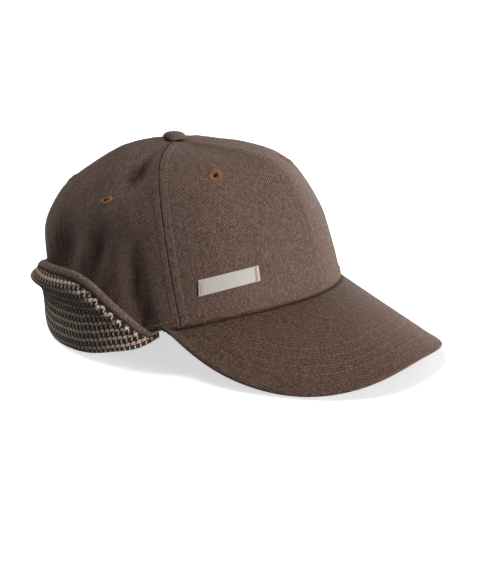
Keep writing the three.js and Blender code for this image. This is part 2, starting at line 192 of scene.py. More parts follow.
@dataclass(frozen=True)
class Fold:
    """A hollow (minus) or swell (plus) of slack cloth, with its middle, half sizes and depth."""

    angle: float
    share: float
    half_angle: float
    half_share: float
    depth: float

    def depth_at(self, angle: Array, share: Array) -> Array:
        """How far it moves the cloth, alike on both sides of the crown.

        Args:
            angle: Angles round the crown.
            share: Shares of the height.

        Returns:
            Millimetres outwards.
        """
        across = (np.abs(angle) - self.angle) / self.half_angle
        up = (share - self.share) / self.half_share
        return self.depth * np.exp(-(across**2) - up**2)


@dataclass(frozen=True)
class Wave:
    """A sine wave over cloth: its radians for one of the first place, one of the second and at zero."""

    first: float
    second: float
    start: float = 0.0

    def at(self, first: Array, second: Array) -> Array:
        """Heights from -1 to 1."""
        return np.sin(self.first * first + self.second * second + self.start)


# Height gained and radius towards the front, side and back, from the hem to past the top.
PROFILE = Table(
    ("share", "rise", "front", "side", "back"),
    (
        (0.00, 0.00, 1.000, 1.000, 1.000),
        (0.17, 0.25, 0.945, 0.955, 0.985),
        (0.33, 0.50, 0.885, 0.885, 1.005),
        (0.50, 0.72, 0.790, 0.775, 0.835),
        (0.67, 0.88, 0.695, 0.630, 0.530),
        (0.83, 0.965, 0.515, 0.420, 0.325),
        (1.00, 1.00, 0.000, 0.000, 0.000),
        (1.17, 0.965, -0.515, -0.420, -0.325),
    ),
)

# Height of the hem round the crown and how far the turned-up flap draws it in.
HEM = Table(
    ("angle", "height", "tuck"),
    (
        (0.0, 40.0, 0.0),
        (20.0, 39.2, 0.0),
        (40.0, 35.8, 0.0),
        (60.0, 28.4, 0.0),
        (75.0, 20.0, 0.0),
        (90.0, 13.5, 1.5),
        (110.0, 9.8, 4.5),
        (135.0, 8.4, 7.0),
        (180.0, 8.0, 7.0),
    ),
)

# Seams of one side, from the front to the back.
SEAMS = (
    Seam(0.0, 0.0, 0.0, 0.25),
    Seam(58.8, 74.7, 0.0, 1.0),
    Seam(108.0, 122.0, 17.0, 0.3),
    Seam(180.0, 180.0, 0.0, 0.3),
)

# Swell along the front seam, the same on both sides.
RIDGE = Fold(0.0, 0.55, 15.0, 0.34, 3.0)

# Slack folds of the sides; those of the left are lower.
FOLDS = (
    Fold(85.0, 0.66, 8.5, 0.10, -6.0),
    Fold(81.5, 0.77, 5.0, 0.08, -4.0),
    Fold(78.0, 0.28, 4.0, 0.10, -2.8),
    Fold(76.0, 0.16, 3.8, 0.09, -3.8),
    Fold(72.5, 0.05, 3.6, 0.07, -3.6),
    Fold(95.0, 0.31, 4.5, 0.09, -4.2),
    Fold(102.5, 0.28, 3.5, 0.10, 1.4),
    Fold(117.5, 0.28, 10.5, 0.13, -7.5),
    Fold(100.0, 0.46, 9.0, 0.08, 1.4),
)

# The flap: underside of its fold, height of its edge, outer face of its body and lip off the hem, how far
# the lip turns in again at the edge, radius of its turn and size of its rolled edge.
FLAP = Table(
    ("angle", "fold", "edge", "body", "lip", "inturn", "turn", "roll"),
    (
        (67.0, 20.6, 24.0, 2.0, 2.0, 0.0, 1.0, 0.3),
        (70.0, 16.8, 25.0, 3.0, 3.1, 0.05, 1.2, 0.6),
        (75.0, 12.4, 30.5, 3.8, 4.4, 0.3, 1.8, 0.9),
        (84.0, 8.0, 41.5, 5.0, 7.0, 1.0, 2.2, 1.0),
        (92.0, 4.2, 50.0, 5.8, 8.6, 1.4, 2.5, 1.0),
        (100.0, 1.8, 53.5, 6.2, 9.8, 1.6, 2.6, 1.0),
        (116.0, -0.4, 52.0, 6.4, 12.0, 2.4, 2.6, 1.0),
        (128.0, -0.5, 49.5, 6.4, 13.6, 3.2, 2.6, 1.0),
        (140.0, -0.6, 43.5, 6.2, 14.4, 3.6, 2.6, 1.0),
        (160.0, -0.6, 38.0, 6.2, 13.2, 3.0, 2.6, 1.0),
        (180.0, -0.6, 36.5, 6.2, 12.4, 2.6, 2.6, 1.0),
    ),
)

# Section of the turned-up leg from the fold to the edge: how much of the body, lip and inturn it has.
LEG = Table(
    ("share", "body", "lip", "inturn"),
    (
        (0.00, 0.0, 0.00, 0.0),
        (0.15, 0.7, 0.00, 0.0),
        (0.35, 1.0, 0.00, 0.0),
        (0.52, 1.0, 0.06, 0.0),
        (0.66, 1.0, 0.22, 0.0),
        (0.78, 1.0, 0.80, 0.0),
        (0.88, 1.0, 1.00, 0.0),
        (1.00, 1.0, 1.00, 1.0),
    ),
)


@dataclass(frozen=True)
class Sewing:
    """Relief of the sewn cloth: seam grooves, turned allowances and the dips of the stitch rows."""

    inset: float = 5.0
    inset_share: float = 0.30
    full_width: float = 26.0
    ridge: float = 0.24
    ridge_in: float = 0.8
    ridge_out: float = 0.6
    groove: float = 0.5
    groove_half: float = 0.34
    dip: float = 0.17
    dip_half: float = 0.75
    hem_row: float = 4.0
    hem_ridge: float = 0.40
    hem_ease: float = 0.6
    hem_roll: float = 0.7
    hem_roll_half: float = 0.6


@dataclass(frozen=True)
class Ripple:
    """Low waves of the slack cloth, less at the front and none beside the seams and the hem."""

    height: float = 0.22
    front: float = 0.35
    slack: tuple[float, float] = (45.0, 80.0)
    off_seam: float = 9.0
    off_hem: tuple[float, float] = (4.0, 14.0)
    long: Wave = Wave(0.31, 11.0)
    cross: Wave = Wave(-0.07, 23.0)
    short: Wave = Wave(0.63, -31.0, 1.3)
    short_share: float = 0.6

    def rise(self, angle: Array, share: Array) -> Array:
        """How far the waves lift the cloth where nothing calms them.

        Args:
            angle: Angles round the crown.
            share: Shares of the height.

        Returns:
            Millimetres outwards.
        """
        wave = self.long.at(angle, share) * self.cross.at(angle, share)
        wave = wave + self.short_share * self.short.at(angle, share)
        slack = self.front + (1.0 - self.front) * smoothstep(np.abs(angle), *self.slack)
        return self.height * slack * wave


@dataclass(frozen=True)
class CrownShape:
    """The crown's outer face, the same as in the CAD source, and the sewn cloth over it."""

    half_width: float = 89.5
    half_length: float = 99.5
    apex_height: float = 120.0
    apex_back: float = 12.3
    wall: float = 1.6
    tuck_reach: float = 0.4
    left_folds: float = 0.6
    angle_step: float = 0.5
    share_step: float = 0.01
    hem_probe: float = 0.05
    least_degree: float = 0.05
    top: float = 0.98
    sewing: Sewing = Sewing()
    ripple: Ripple = Ripple()

    def plan(self, angle: Array, tuck_left: Array) -> tuple[Array, Array]:
        """Hem in plan.

        Args:
            angle: Angles round the crown.
            tuck_left: How much of the hem's tuck is left.

        Returns:
            The plan's x and y.
        """
        tuck = HEM.at("tuck", np.abs(angle)) * tuck_left
        turn = np.radians(angle)
        return -(self.half_width - tuck) * np.sin(turn), -(self.half_length - tuck) * np.cos(turn)

    def hem_height(self, angle: Array) -> Array:
        """Height of the hem."""
        return HEM.at("height", np.abs(angle))

    def hem_point(self, angle: Array, offset: Array) -> Array:
        """Points of the hem.

        Args:
            angle: Angles round the crown.
            offset: How far outwards in plan.

        Returns:
            The points.
        """
        x, y = self.plan(angle, 1.0)
        ahead = np.stack(self.plan(angle + self.angle_step, 1.0), -1)
        behind = np.stack(self.plan(angle - self.angle_step, 1.0), -1)
        step = unit(ahead - behind)
        return np.stack([x - step[..., 1] * offset, y + step[..., 0] * offset, self.hem_height(angle)], -1)

    def profile_radius(self, angle: Array, share: Array) -> Array:
        """Radius of the profile: front, side and back blended round the crown.

        Args:
            angle: Angles round the crown.
            share: Shares of the height.

        Returns:
            Radii as shares of the hem's.
        """
        facing = np.cos(np.radians(angle))
        end = np.where(facing > 0, PROFILE.at("front", share), PROFILE.at("back", share))
        side = PROFILE.at("side", share)
        return side + (end - side) * facing**2

    def smooth(self, angle: Array, share: Array) -> Array:
        """Points of the outer face without folds or sewing.

        Args:
            angle: Angles round the crown.
            share: Shares of the height.

        Returns:
            The points.
        """
        angle, share = np.broadcast_arrays(np.asarray(angle, float), np.asarray(share, float))
        x, y = self.plan(angle, np.maximum(0.0, 1.0 - share / self.tuck_reach) ** 2)
        radius = self.profile_radius(angle, share)
        hem = self.hem_height(angle)
        height = hem + (self.apex_height - hem) * PROFILE.at("rise", share)
        return np.stack([x * radius, self.apex_back + (y - self.apex_back) * radius, height], -1)

    def normal(self, angle: Array, share: Array) -> Array:
        """Outward directions of the crown."""
        within = np.clip(share, self.share_step, self.top)
        return outward(self.smooth, angle, within, self.angle_step, self.share_step)

    def fold_depth(self, angle: Array, share: Array) -> Array:
        """How far the slack cloth swells."""
        depth = sum(fold.depth_at(angle, share) for fold in FOLDS)
        return depth * np.where(np.asarray(angle) < 0, self.left_folds, 1.0) + RIDGE.depth_at(angle, share)

    def degree_length(self, angle: Array, share: Array) -> Array:
        """Millimetres that a degree covers along the crown."""
        step = self.smooth(angle + self.angle_step, share) - self.smooth(angle - self.angle_step, share)
        return np.linalg.norm(step, axis=-1) / (2.0 * self.angle_step)

    def seam_angles(self, share: Array) -> Array:
        """Angles of the four seams of a side, along a new first axis."""
        return np.stack([seam.angle_at(share) for seam in SEAMS])

    def seam_place(self, angle: Array, share: Array) -> tuple[Array, Array, Array]:
        """Where places lie between the seams.

        Args:
            angle: Angles round the crown.
            share: Shares of the height.

        Returns:
            The distance to the nearest seam, the width of the panel there and how open that seam looks.
        """
        angle, share = np.broadcast_arrays(np.asarray(angle, float), np.asarray(share, float))
        turn, bounds = np.abs(angle), self.seam_angles(share)
        length = self.degree_length(angle, share)
        index = ((turn >= bounds[1]).astype(int) + (turn >= bounds[2]))[None]
        low = np.take_along_axis(bounds, index, 0)[0]
        high = np.take_along_axis(bounds, index + 1, 0)[0]
        nearest = index[0] + (high - turn < turn - low)
        opened = np.array([seam.open for seam in SEAMS])[nearest]
        return np.minimum(np.abs(turn - low), np.abs(high - turn)) * length, (high - low) * length, opened

    def inset(self, width: Array) -> Array:
        """Distance of a seam's stitch row from it, on a panel of that width."""
        return np.minimum(self.sewing.inset, self.sewing.inset_share * width)

    def hem_distance(self, angle: Array, share: Array) -> Array:
        """Distance up from the hem."""
        return np.linalg.norm(self.smooth(angle, share) - self.smooth(angle, 0.0), axis=-1)

    def share_above(self, angle: Array, up: Array) -> Array:
        """Shares of places a few millimetres up from the hem."""
        return self.hem_probe * up / self.hem_distance(angle, self.hem_probe)

    def sewn_rise(self, angle: Array, share: Array) -> Array:
        """How far the sewn cloth stands off the plain crown.

        Args:
            angle: Angles round the crown.
            share: Shares of the height.

        Returns:
            Millimetres outwards.
        """
        sewing, ripple = self.sewing, self.ripple
        distance, width, opened = self.seam_place(angle, share)
        inset, ease = self.inset(width), np.clip(width / sewing.full_width, 0.0, 1.0)
        ridge_ends = inset - sewing.ridge_in, inset + sewing.ridge_out
        seam = sewing.ridge * (1.0 - smoothstep(distance, *ridge_ends))
        seam = seam - sewing.groove * opened * bell(distance, sewing.groove_half)
        seam = seam - sewing.dip * bell(distance - inset, sewing.dip_half)
        up, row = self.hem_distance(angle, share), sewing.hem_row
        hem = sewing.hem_ridge * (1.0 - smoothstep(up, row - sewing.hem_ease, row + sewing.hem_ease))
        hem = hem - sewing.dip * bell(up - row, sewing.dip_half)
        hem = hem - sewing.hem_roll * bell(up, sewing.hem_roll_half)
        calm = smoothstep(distance, inset, inset + ripple.off_seam) * smoothstep(up, *ripple.off_hem)
        return seam * ease + hem + ripple.rise(angle, share) * calm

    def cloth(self, angle: Array, share: Array, offset: Array = 0.0) -> Array:
        """Points of the sewn cloth's outer face.

        Args:
            angle: Angles round the crown.
            share: Shares of the height.
            offset: How far outwards.

        Returns:
            The points.
        """
        angle, share = np.broadcast_arrays(np.asarray(angle, float), np.asarray(share, float))
        distance = self.fold_depth(angle, share) + self.sewn_rise(angle, share) + offset
        return self.smooth(angle, share) + self.normal(angle, share) * distance[..., None]

    def inner(self, angle: Array, share: Array) -> Array:
        """Points of the cloth's inner face."""
        distance = self.fold_depth(angle, share) - self.wall
        return self.smooth(angle, share) + self.normal(angle, share) * distance[..., None]

    def panel_angle(self, kind: PanelKind, side: Side, across: Array, share: Array, gap: float) -> Array:
        """Angles at shares across a panel.

        Args:
            kind: The panel.
            side: The wearer's side.
            across: Shares across it, from its front seam to its back one.
            share: Shares of the height.
            gap: Gap to the next panel.

        Returns:
            The angles.
        """
        bounds = self.seam_angles(share)
        start, end = bounds[kind.value], bounds[kind.value + 1]
        clear = gap / 2.0 / np.maximum(self.degree_length(start, share), self.least_degree)
        return side.value * (start + clear + (end - start - 2.0 * clear) * across)


def outward(
    point: Callable[[Array, Array], Array], first: Array, second: Array, step: float, rise: float
) -> Array:
    """Outward directions of a face given by two parameters.

    Args:
        point: The face's points.
        first: First parameter.
        second: Second parameter.
        step: Small step of the first.
        rise: Small step of the second.

    Returns:
        Directions one long.
    """
    across = point(first + step, second) - point(first - step, second)
    up = point(first, second + rise) - point(first, second - rise)
    return unit(np.cross(up, across))


def added(name: str, data: bpy.types.ID) -> bpy.types.Object:
    """A new object in the scene.

    Args:
        name: Its name.
        data: Its mesh, lamp or camera.

    Returns:
        The object.
    """
    thing = bpy.data.objects.new(name, data)
    bpy.context.scene.collection.objects.link(thing)
    return thing


@dataclass
class MeshData:
    """Points in millimetres, faces, flat cloth places and seam shares of painted shade of one mesh."""

    points: Array
    faces: list[tuple[int, ...]]
    flat: Array
    seam: Array

    @staticmethod
    def joined(parts: Sequence["MeshData"]) -> "MeshData":
        """One mesh of several.

        Args:
            parts: The meshes.

        Returns:
            The mesh of all of them.
        """
        faces: list[tuple[int, ...]] = []
        start = 0
        for part in parts:
            faces += [tuple(corner + start for corner in face) for face in part.faces]
            start += len(part.points)
        return MeshData(
            np.concatenate([part.points for part in parts]),
            faces,
            np.concatenate([part.flat for part in parts]),
            np.concatenate([part.seam for part in parts]),
        )

    def turned_out(self) -> "MeshData":
        """Turns the faces out.

        Returns:
            The mesh itself.
        """
        volume = 0.0
        for size in {len(face) for face in self.faces}:
            group = np.array([face for face in self.faces if len(face) == size])
            corners = self.points[group]
            for index in range(1, size - 1):
                turn = np.cross(corners[:, index], corners[:, index + 1])
                volume += float((corners[:, 0] * turn).sum())
        if volume < 0:
            self.faces = [face[::-1] for face in self.faces]
        return self

    def to_object(self, name: str, material: bpy.types.Material, sharp: float = 50.0) -> bpy.types.Object:
        """Blender object of the mesh.

        Args:
            name: Name of the piece.
            material: Its finish.
            sharp: Angle above which an edge shows as sharp.

        Returns:
            The object, in the scene.
        """
        mesh = bpy.data.meshes.new(name)
        moved = (self.points + np.array([0.0, ORIGIN_SHIFT, 0.0])) * MM
        mesh.from_pydata(moved.tolist(), [], self.faces)
        corners = np.zeros(len(mesh.loops), np.int32)
        mesh.loops.foreach_get("vertex_index", corners)
        layer = mesh.uv_layers.new(name=WEAVE)
        layer.data.foreach_set("uv", self.flat[corners].astype(np.float32).ravel())
        shares = mesh.attributes.new(PAINTED_SHADE, "FLOAT", "POINT")
        shares.data.foreach_set("value", self.seam.astype(np.float32))
        mesh.polygons.foreach_set("use_smooth", np.ones(len(mesh.polygons), bool))
        mesh.set_sharp_from_angle(angle=math.radians(sharp))
        mesh.materials.append(material)
        return added(name, mesh)


def wall(outer: Array, inner: Array, flat: Array, seam: Array) -> MeshData:
    """Closed wall between two grids of points.

    Args:
        outer: Outer points, rows by columns by 3.
        inner: Inner points, the same.
        flat: Flat cloth places, rows by columns by 2.
        seam: Seam shares of painted shade, rows by columns.

    Returns:
        The mesh, its faces pointing out.
    """
    rows, columns = outer.shape[:2]
    size = rows * columns
    index = np.arange(size).reshape(rows, columns)
    front = np.stack([index[:-1, :-1], index[:-1, 1:], index[1:, 1:], index[1:, :-1]], -1).reshape(-1, 4)
    rim = np.concatenate([index[0, :-1], index[:-1, -1], index[-1, :0:-1], index[:0:-1, 0]])
    after = np.roll(rim, -1)
    sides = np.stack([rim, rim + size, after + size, after], -1)
    faces = np.concatenate([front, front[:, ::-1] + size, sides])
    points = np.concatenate([outer.reshape(-1, 3), inner.reshape(-1, 3)])
    places = np.tile(flat.reshape(-1, 2), (2, 1))
    shares = np.concatenate([seam.ravel(), np.zeros(size)])
    return MeshData(points, [tuple(face) for face in faces.tolist()], places, shares).turned_out()


def tubes(rings: Array, flat: Array, closed: bool = False) -> MeshData:
    """Many tubes of the same make as one mesh.

    Args:
        rings: Points, tubes by rings by sides by 3.
        flat: Flat places, tubes by rings by sides by 2.
        closed: Whether the last ring joins the first; otherwise the ends are capped.

    Returns:
        The mesh, its faces pointing out.
    """
    count, length, sides = rings.shape[:3]
    index = np.arange(count * length * sides).reshape(count, length, sides)
    here = index if closed else index[:, :-1]
    ahead = np.roll(index, -1, 1) if closed else index[:, 1:]
    faces = np.stack([here, np.roll(here, -1, 2), np.roll(ahead, -1, 2), ahead], -1).reshape(-1, 4).tolist()
    if not closed:
        faces += index[:, 0, ::-1].tolist() + index[:, -1].tolist()
    mesh = MeshData(
        rings.reshape(-1, 3),
        [tuple(face) for face in faces],
        flat.reshape(-1, 2),
        np.zeros(count * length * sides),
    )
    return mesh.turned_out()


def tube_places(rings: Array, along: Array | float, across: Array | float) -> Array:
    """Flat places of tubes.

    Args:
        rings: Points of the tubes.
        along: Distances along them.
        across: Distances round them.

    Returns:
        The places, tubes by rings by sides by 2.
    """
    flat = np.zeros(rings.shape[:3] + (2,))
    flat[..., 0] = along
    flat[..., 1] = across
    return flat


def dense_ends(count: int, strength: float, start: float = 0.0) -> Array:
    """Shares from a start of 0 or -1 to 1 that lie closer together at whole numbers."""
    t = np.linspace(start, 1.0, count + 1)
    return t - strength * np.sin(2.0 * np.pi * t) / (2.0 * np.pi)


@dataclass(frozen=True)
class Stitch:
    """Sizes of one row's stitches: spacing, length, thickness and how high they lie on the cloth."""

    pitch: float
    length: float
    radius: float
    lift: float
    arch: float
    rings: int = 6
    sides: int = 6
    end_taper: float = 0.82
    taper_power: int = 5
    sink_power: int = 6

    def row(self, points: Array, normals: Array) -> MeshData:
        """Stitches along a line on the cloth.

        Args:
            points: Points of the line.
            normals: Outward directions there.

        Returns:
            The stitches as one mesh.
        """
        reach = lengths_along(points)
        count = max(1, int((reach[-1] - self.length) / self.pitch) + 1)
        t = np.linspace(0.0, 1.0, self.rings)
        middle = 2.0 * t - 1.0
        place = np.arange(count)[:, None] * self.pitch + self.length * t[None]
        line = interpolated(reach, points, place)
        facing = unit(interpolated(reach, normals, place))
        way = unit(np.gradient(line, axis=1))
        beside = unit(np.cross(way, facing))
        turn = full_turn(self.sides)
        radius = self.radius * np.sqrt(1.0 - self.end_taper * np.abs(middle) ** self.taper_power)
        sink = np.abs(middle) ** self.sink_power
        height = self.lift + self.arch * (1.0 - middle**2) - self.arch * sink
        centre = line + facing * height[None, :, None]
        ring = around(turn, beside[:, :, None], facing[:, :, None])
        rings = centre[:, :, None] + radius[None, :, None, None] * ring
        return tubes(rings, tube_places(rings, place[:, :, None], self.radius * turn))


def interpolated(reach: Array, values: Array, place: Array) -> Array:
    """Values along a line, read at distances along it."""
    return np.stack([np.interp(place, reach, values[:, axis]) for axis in range(3)], -1)


class Socket:
    """A shader value; Python's operators on it add Math nodes."""

    def __init__(self, maker: "NodeMaker", socket: bpy.types.NodeSocket) -> None:
        """Keeps the socket and the maker of its nodes."""
        self.maker = maker
        self.socket = socket

    def math(self, operation: str, *values: "Socket | float") -> "Socket":
        """A Math node on values."""
        names = ("Value", "Value_001", "Value_002")
        return self.maker.out("ShaderNodeMath", "Value", {"operation": operation}, dict(zip(names, values)))

    def __add__(self, other: "Socket | float") -> "Socket":
        """Sum."""
        return self.math("ADD", self, other)

    def __radd__(self, other: float) -> "Socket":
        """Sum with a number first."""
        return self.math("ADD", other, self)

    def __sub__(self, other: "Socket | float") -> "Socket":
        """Difference."""
        return self.math("SUBTRACT", self, other)

    def __rsub__(self, other: float) -> "Socket":
        """Difference from a number."""
        return self.math("SUBTRACT", other, self)

    def __mul__(self, other: "Socket | float") -> "Socket":
        """Product."""
        return self.math("MULTIPLY", self, other)

    def __rmul__(self, other: float) -> "Socket":
        """Product with a number first."""
        return self.math("MULTIPLY", other, self)

    def __truediv__(self, other: "Socket | float") -> "Socket":
        """Quotient."""
        return self.math("DIVIDE", self, other)

    def __floordiv__(self, other: "Socket | float") -> "Socket":
        """Quotient rounded down."""
        return self.math("FLOOR", self / other)

    def __mod__(self, other: float) -> "Socket":
        """Rest of the quotient rounded down."""
        return self.math("FLOORED_MODULO", self, other)

    def __pow__(self, other: float) -> "Socket":
        """Power."""
        return self.math("POWER", self, other)

    def __lt__(self, other: float) -> "Socket":
        """1 where the value is below a number."""
        return self.math("LESS_THAN", self, other)

    def round_thread(self) -> "Socket":
        """Roundness across threads one wide: 0 at their sides and 1 on their tops."""
        return 1.0 - (2.0 * (self % 1.0) - 1.0) ** 2.0


class NodeMaker:
    """Makes the nodes of one material, or of the world."""

    def __init__(self, owner: str | bpy.types.World) -> None:
        """Starts without nodes.

        Args:
            owner: Name of a new material, or the world.
        """
        self.owner = bpy.data.materials.new(owner) if isinstance(owner, str) else owner
        self.owner.use_nodes = True
        self.tree = self.owner.node_tree
        self.tree.nodes.clear()

    def node(self, kind: str, settings: dict | None = None, inputs: dict | None = None) -> bpy.types.Node:
        """Any node.

        Args:
            kind: Node type.
            settings: Its settings, set first; stops are a ramp's places and colours.
            inputs: Values or links of its sockets, by identifier or name.

        Returns:
            The node.
        """
        node = self.tree.nodes.new(kind)
        for key, value in (settings or {}).items():
            if key == "stops":
                self.set_stops(node.color_ramp, value)
            else:
                setattr(node, key, value)
        for key, value in (inputs or {}).items():
            known = [socket for socket in node.inputs if socket.identifier == key]
            target = known[0] if known else node.inputs[key]
            if isinstance(value, Socket):
                self.tree.links.new(value.socket, target)
            else:
                target.default_value = value
        return node

    @staticmethod
    def set_stops(ramp: bpy.types.ColorRamp, stops: Sequence[tuple[float, Colour]]) -> None:
        """Sets a ramp's stops.

        Args:
            ramp: The ramp.
            stops: Places and colours.
        """
        while len(ramp.elements) < len(stops):
            ramp.elements.new(1.0)
        for element, (place, colour) in zip(ramp.elements, stops):
            element.position = place
            element.color = colour

    def out(
        self, kind: str, output: str, settings: dict | None = None, inputs: dict | None = None
    ) -> Socket:
        """An output of a new node.

        Args:
            kind: Node type.
            output: The output, by identifier or name.
            settings: The node's settings.
            inputs: Values or links of its sockets.

        Returns:
            The output.
        """
        node = self.node(kind, settings, inputs)
        known = [socket for socket in node.outputs if socket.identifier == output]
        return Socket(self, known[0] if known else node.outputs[output])

    def weave_place(self) -> tuple[Socket, Socket]:
        """Flat place on the cloth.

        Returns:
            Millimetres across and along.
        """
        place = self.out("ShaderNodeUVMap", "UV", {"uv_map": WEAVE})
        parts = self.node("ShaderNodeSeparateXYZ", None, {"Vector": place})
        return Socket(self, parts.outputs["X"]), Socket(self, parts.outputs["Y"])

    def seam_share(self) -> Socket:
        """How much painted shade a place carries."""
        return self.out("ShaderNodeAttribute", "Fac", {"attribute_name": PAINTED_SHADE})

    def pair(self, first: Socket, second: Socket) -> Socket:
        """A vector of two values."""
        return self.out("ShaderNodeCombineXYZ", "Vector", None, {"X": first, "Y": second})

    def chance(self, first: Socket, second: Socket) -> Socket:
        """A steady chance value from 0 to 1 for each pair of whole numbers."""
        settings = {"noise_dimensions": "2D"}
        return self.out("ShaderNodeTexWhiteNoise", "Value", settings, {"Vector": self.pair(first, second)})

    def cloud(self, place: Socket, scale: float, detail: float = 2.0) -> Socket:
        """Soft noise from 0 to 1."""
        inputs = {"Vector": place, "Scale": scale, "Detail": detail}
        return self.out("ShaderNodeTexNoise", "Fac", {"noise_dimensions": "2D"}, inputs)

    def ramp(self, value: Socket, stops: Sequence[tuple[float, Colour]]) -> Socket:
        """Colours along a ramp."""
        return self.out("ShaderNodeValToRGB", "Color", {"stops": stops}, {"Fac": value})

    def mix(self, share: Socket, first: Socket | Colour, second: Socket | Colour) -> Socket:
        """Colours mixed, from the first at 0 to the second at 1."""
        inputs = {"Factor_Float": share, "A_Color": first, "B_Color": second}
        return self.out("ShaderNodeMix", "Result_Color", {"data_type": "RGBA"}, inputs)

    def lit(self, colour: Socket, value: Socket) -> Socket:
        """A colour made lighter or darker."""
        return self.out("ShaderNodeHueSaturation", "Color", None, {"Color": colour, "Value": value})

    def bump(self, height: Socket, strength: float, depth: float) -> Socket:
        """Normals of a height over the surface, its depth in millimetres."""
        inputs = {"Height": height, "Strength": strength, "Distance": depth * MM}
        return self.out("ShaderNodeBump", "Normal", None, inputs)

    def finished(
        self, colour: Socket, roughness: Socket | float, normal: Socket, **steady: object
    ) -> bpy.types.Material:
        """Closes the material with its shader.

        Args:
            colour: Base colour.
            roughness: Roughness.
            normal: Normals.
            steady: Constant sockets of the shader, with _ for a space.

        Returns:
            The material.
        """
        inputs = {"Base Color": colour, "Roughness": roughness, "Normal": normal}
        inputs.update({key.replace("_", " "): value for key, value in steady.items()})
        shader = self.out("ShaderNodeBsdfPrincipled", "BSDF", None, inputs)
        self.node("ShaderNodeOutputMaterial", None, {"Surface": shader})
        return self.owner


def srgb(red: int, green: int, blue: int) -> Colour:
    """Linear colour of a screen colour.

    Args:
        red: Red from 0 to 255.
        green: Green, the same.
        blue: Blue, the same.

    Returns:
        The colour, opaque.
    """
    levels = [level / 255.0 for level in (red, green, blue)]
    linear = [x / 12.92 if x <= 0.04045 else ((x + 0.055) / 1.055) ** 2.4 for x in levels]
    return (linear[0], linear[1], linear[2], 1.0)


@dataclass(frozen=True)
class TwillFinish:
    """Brown heather twill: two over one, each float of yarn in its own tone."""

    name: str = "brown_heather_twill"
    pitch: float = 0.52
    repeat: float = 3.0
    over: float = 2.0
    lean: float = -1.0
    dark: Colour = srgb(84, 65, 57)
    body: Colour = srgb(109, 87, 77)
    light: Colour = srgb(132, 108, 97)
    fleck: Colour = srgb(128, 97, 76)
    body_tones: tuple[float, float] = (0.30, 0.72)
    light_tone: float = 0.93
    weft_seed: float = 700.0
    shade_seed: float = 31.0
    weft_shade: float = 0.4
    least_value: float = 0.93
    cloud_scale: float = 0.035
    cloud_detail: float = 3.0
    cloud_gain: float = 0.14
    slub_scale: float = 0.55
    slub_stretch: float = 0.25
    slub_gain: float = 0.10
    seam_shade: float = 0.45
    warp_low: float = 0.4
    weft_high: float = 0.55
    bump: float = 0.7
    depth: float = 0.16
    roughness: float = 0.9
    gloss: float = 0.08
    sheen: float = 0.06
    sheen_roughness: float = 0.55
    sheen_tint: Colour = srgb(196, 160, 140)
    specular: float = 0.25

    def material(self) -> bpy.types.Material:
        """Makes the finish.

        Returns:
            The material.
        """
        maker = NodeMaker(self.name)
        u, v = maker.weave_place()
        place = maker.pair(u, v)
        across, along = u / self.pitch, v / self.pitch
        warp, weft = across // 1.0, along // 1.0
        step = warp + weft * self.lean
        warp_up = (step % self.repeat) < (self.over - 0.5)
        warp_tone = maker.chance(warp, step // self.repeat)
        weft_tone = maker.chance(weft + self.weft_seed, step // self.repeat)
        tone = warp_tone * warp_up + weft_tone * (1.0 - warp_up)
        stops = (
            (0.0, self.dark),
            (self.body_tones[0], self.body),
            (self.body_tones[1], self.body),
            (self.light_tone, self.light),
            (1.0, self.fleck),
        )
        cloud = maker.cloud(place, self.cloud_scale, self.cloud_detail)
        slub = maker.cloud(maker.pair(u * self.slub_stretch, v), self.slub_scale)
        weft_value = self.weft_shade * maker.chance(warp + self.shade_seed, weft)
        value = warp_up + (1.0 - warp_up) * weft_value
        value = value * (self.least_value + self.cloud_gain * cloud + self.slub_gain * slub)
        # Painted shade: darker in the crown's seam grooves, along its hem and where the peak meets the
        # crown.
        value = value * (1.0 - self.seam_shade * maker.seam_share())
        colour = maker.lit(maker.ramp(tone, stops), value)
        warp_height = self.warp_low + (1.0 - self.warp_low) * across.round_thread()
        height = warp_up * warp_height + (1.0 - warp_up) * (self.weft_high * along.round_thread())
        return maker.finished(
            colour,
            self.roughness - self.gloss * tone,
            maker.bump(height, self.bump, self.depth),
            Sheen_Weight=self.sheen,
            Sheen_Roughness=self.sheen_roughness,
            Sheen_Tint=self.sheen_tint,
            Specular_IOR_Level=self.specular,
        )


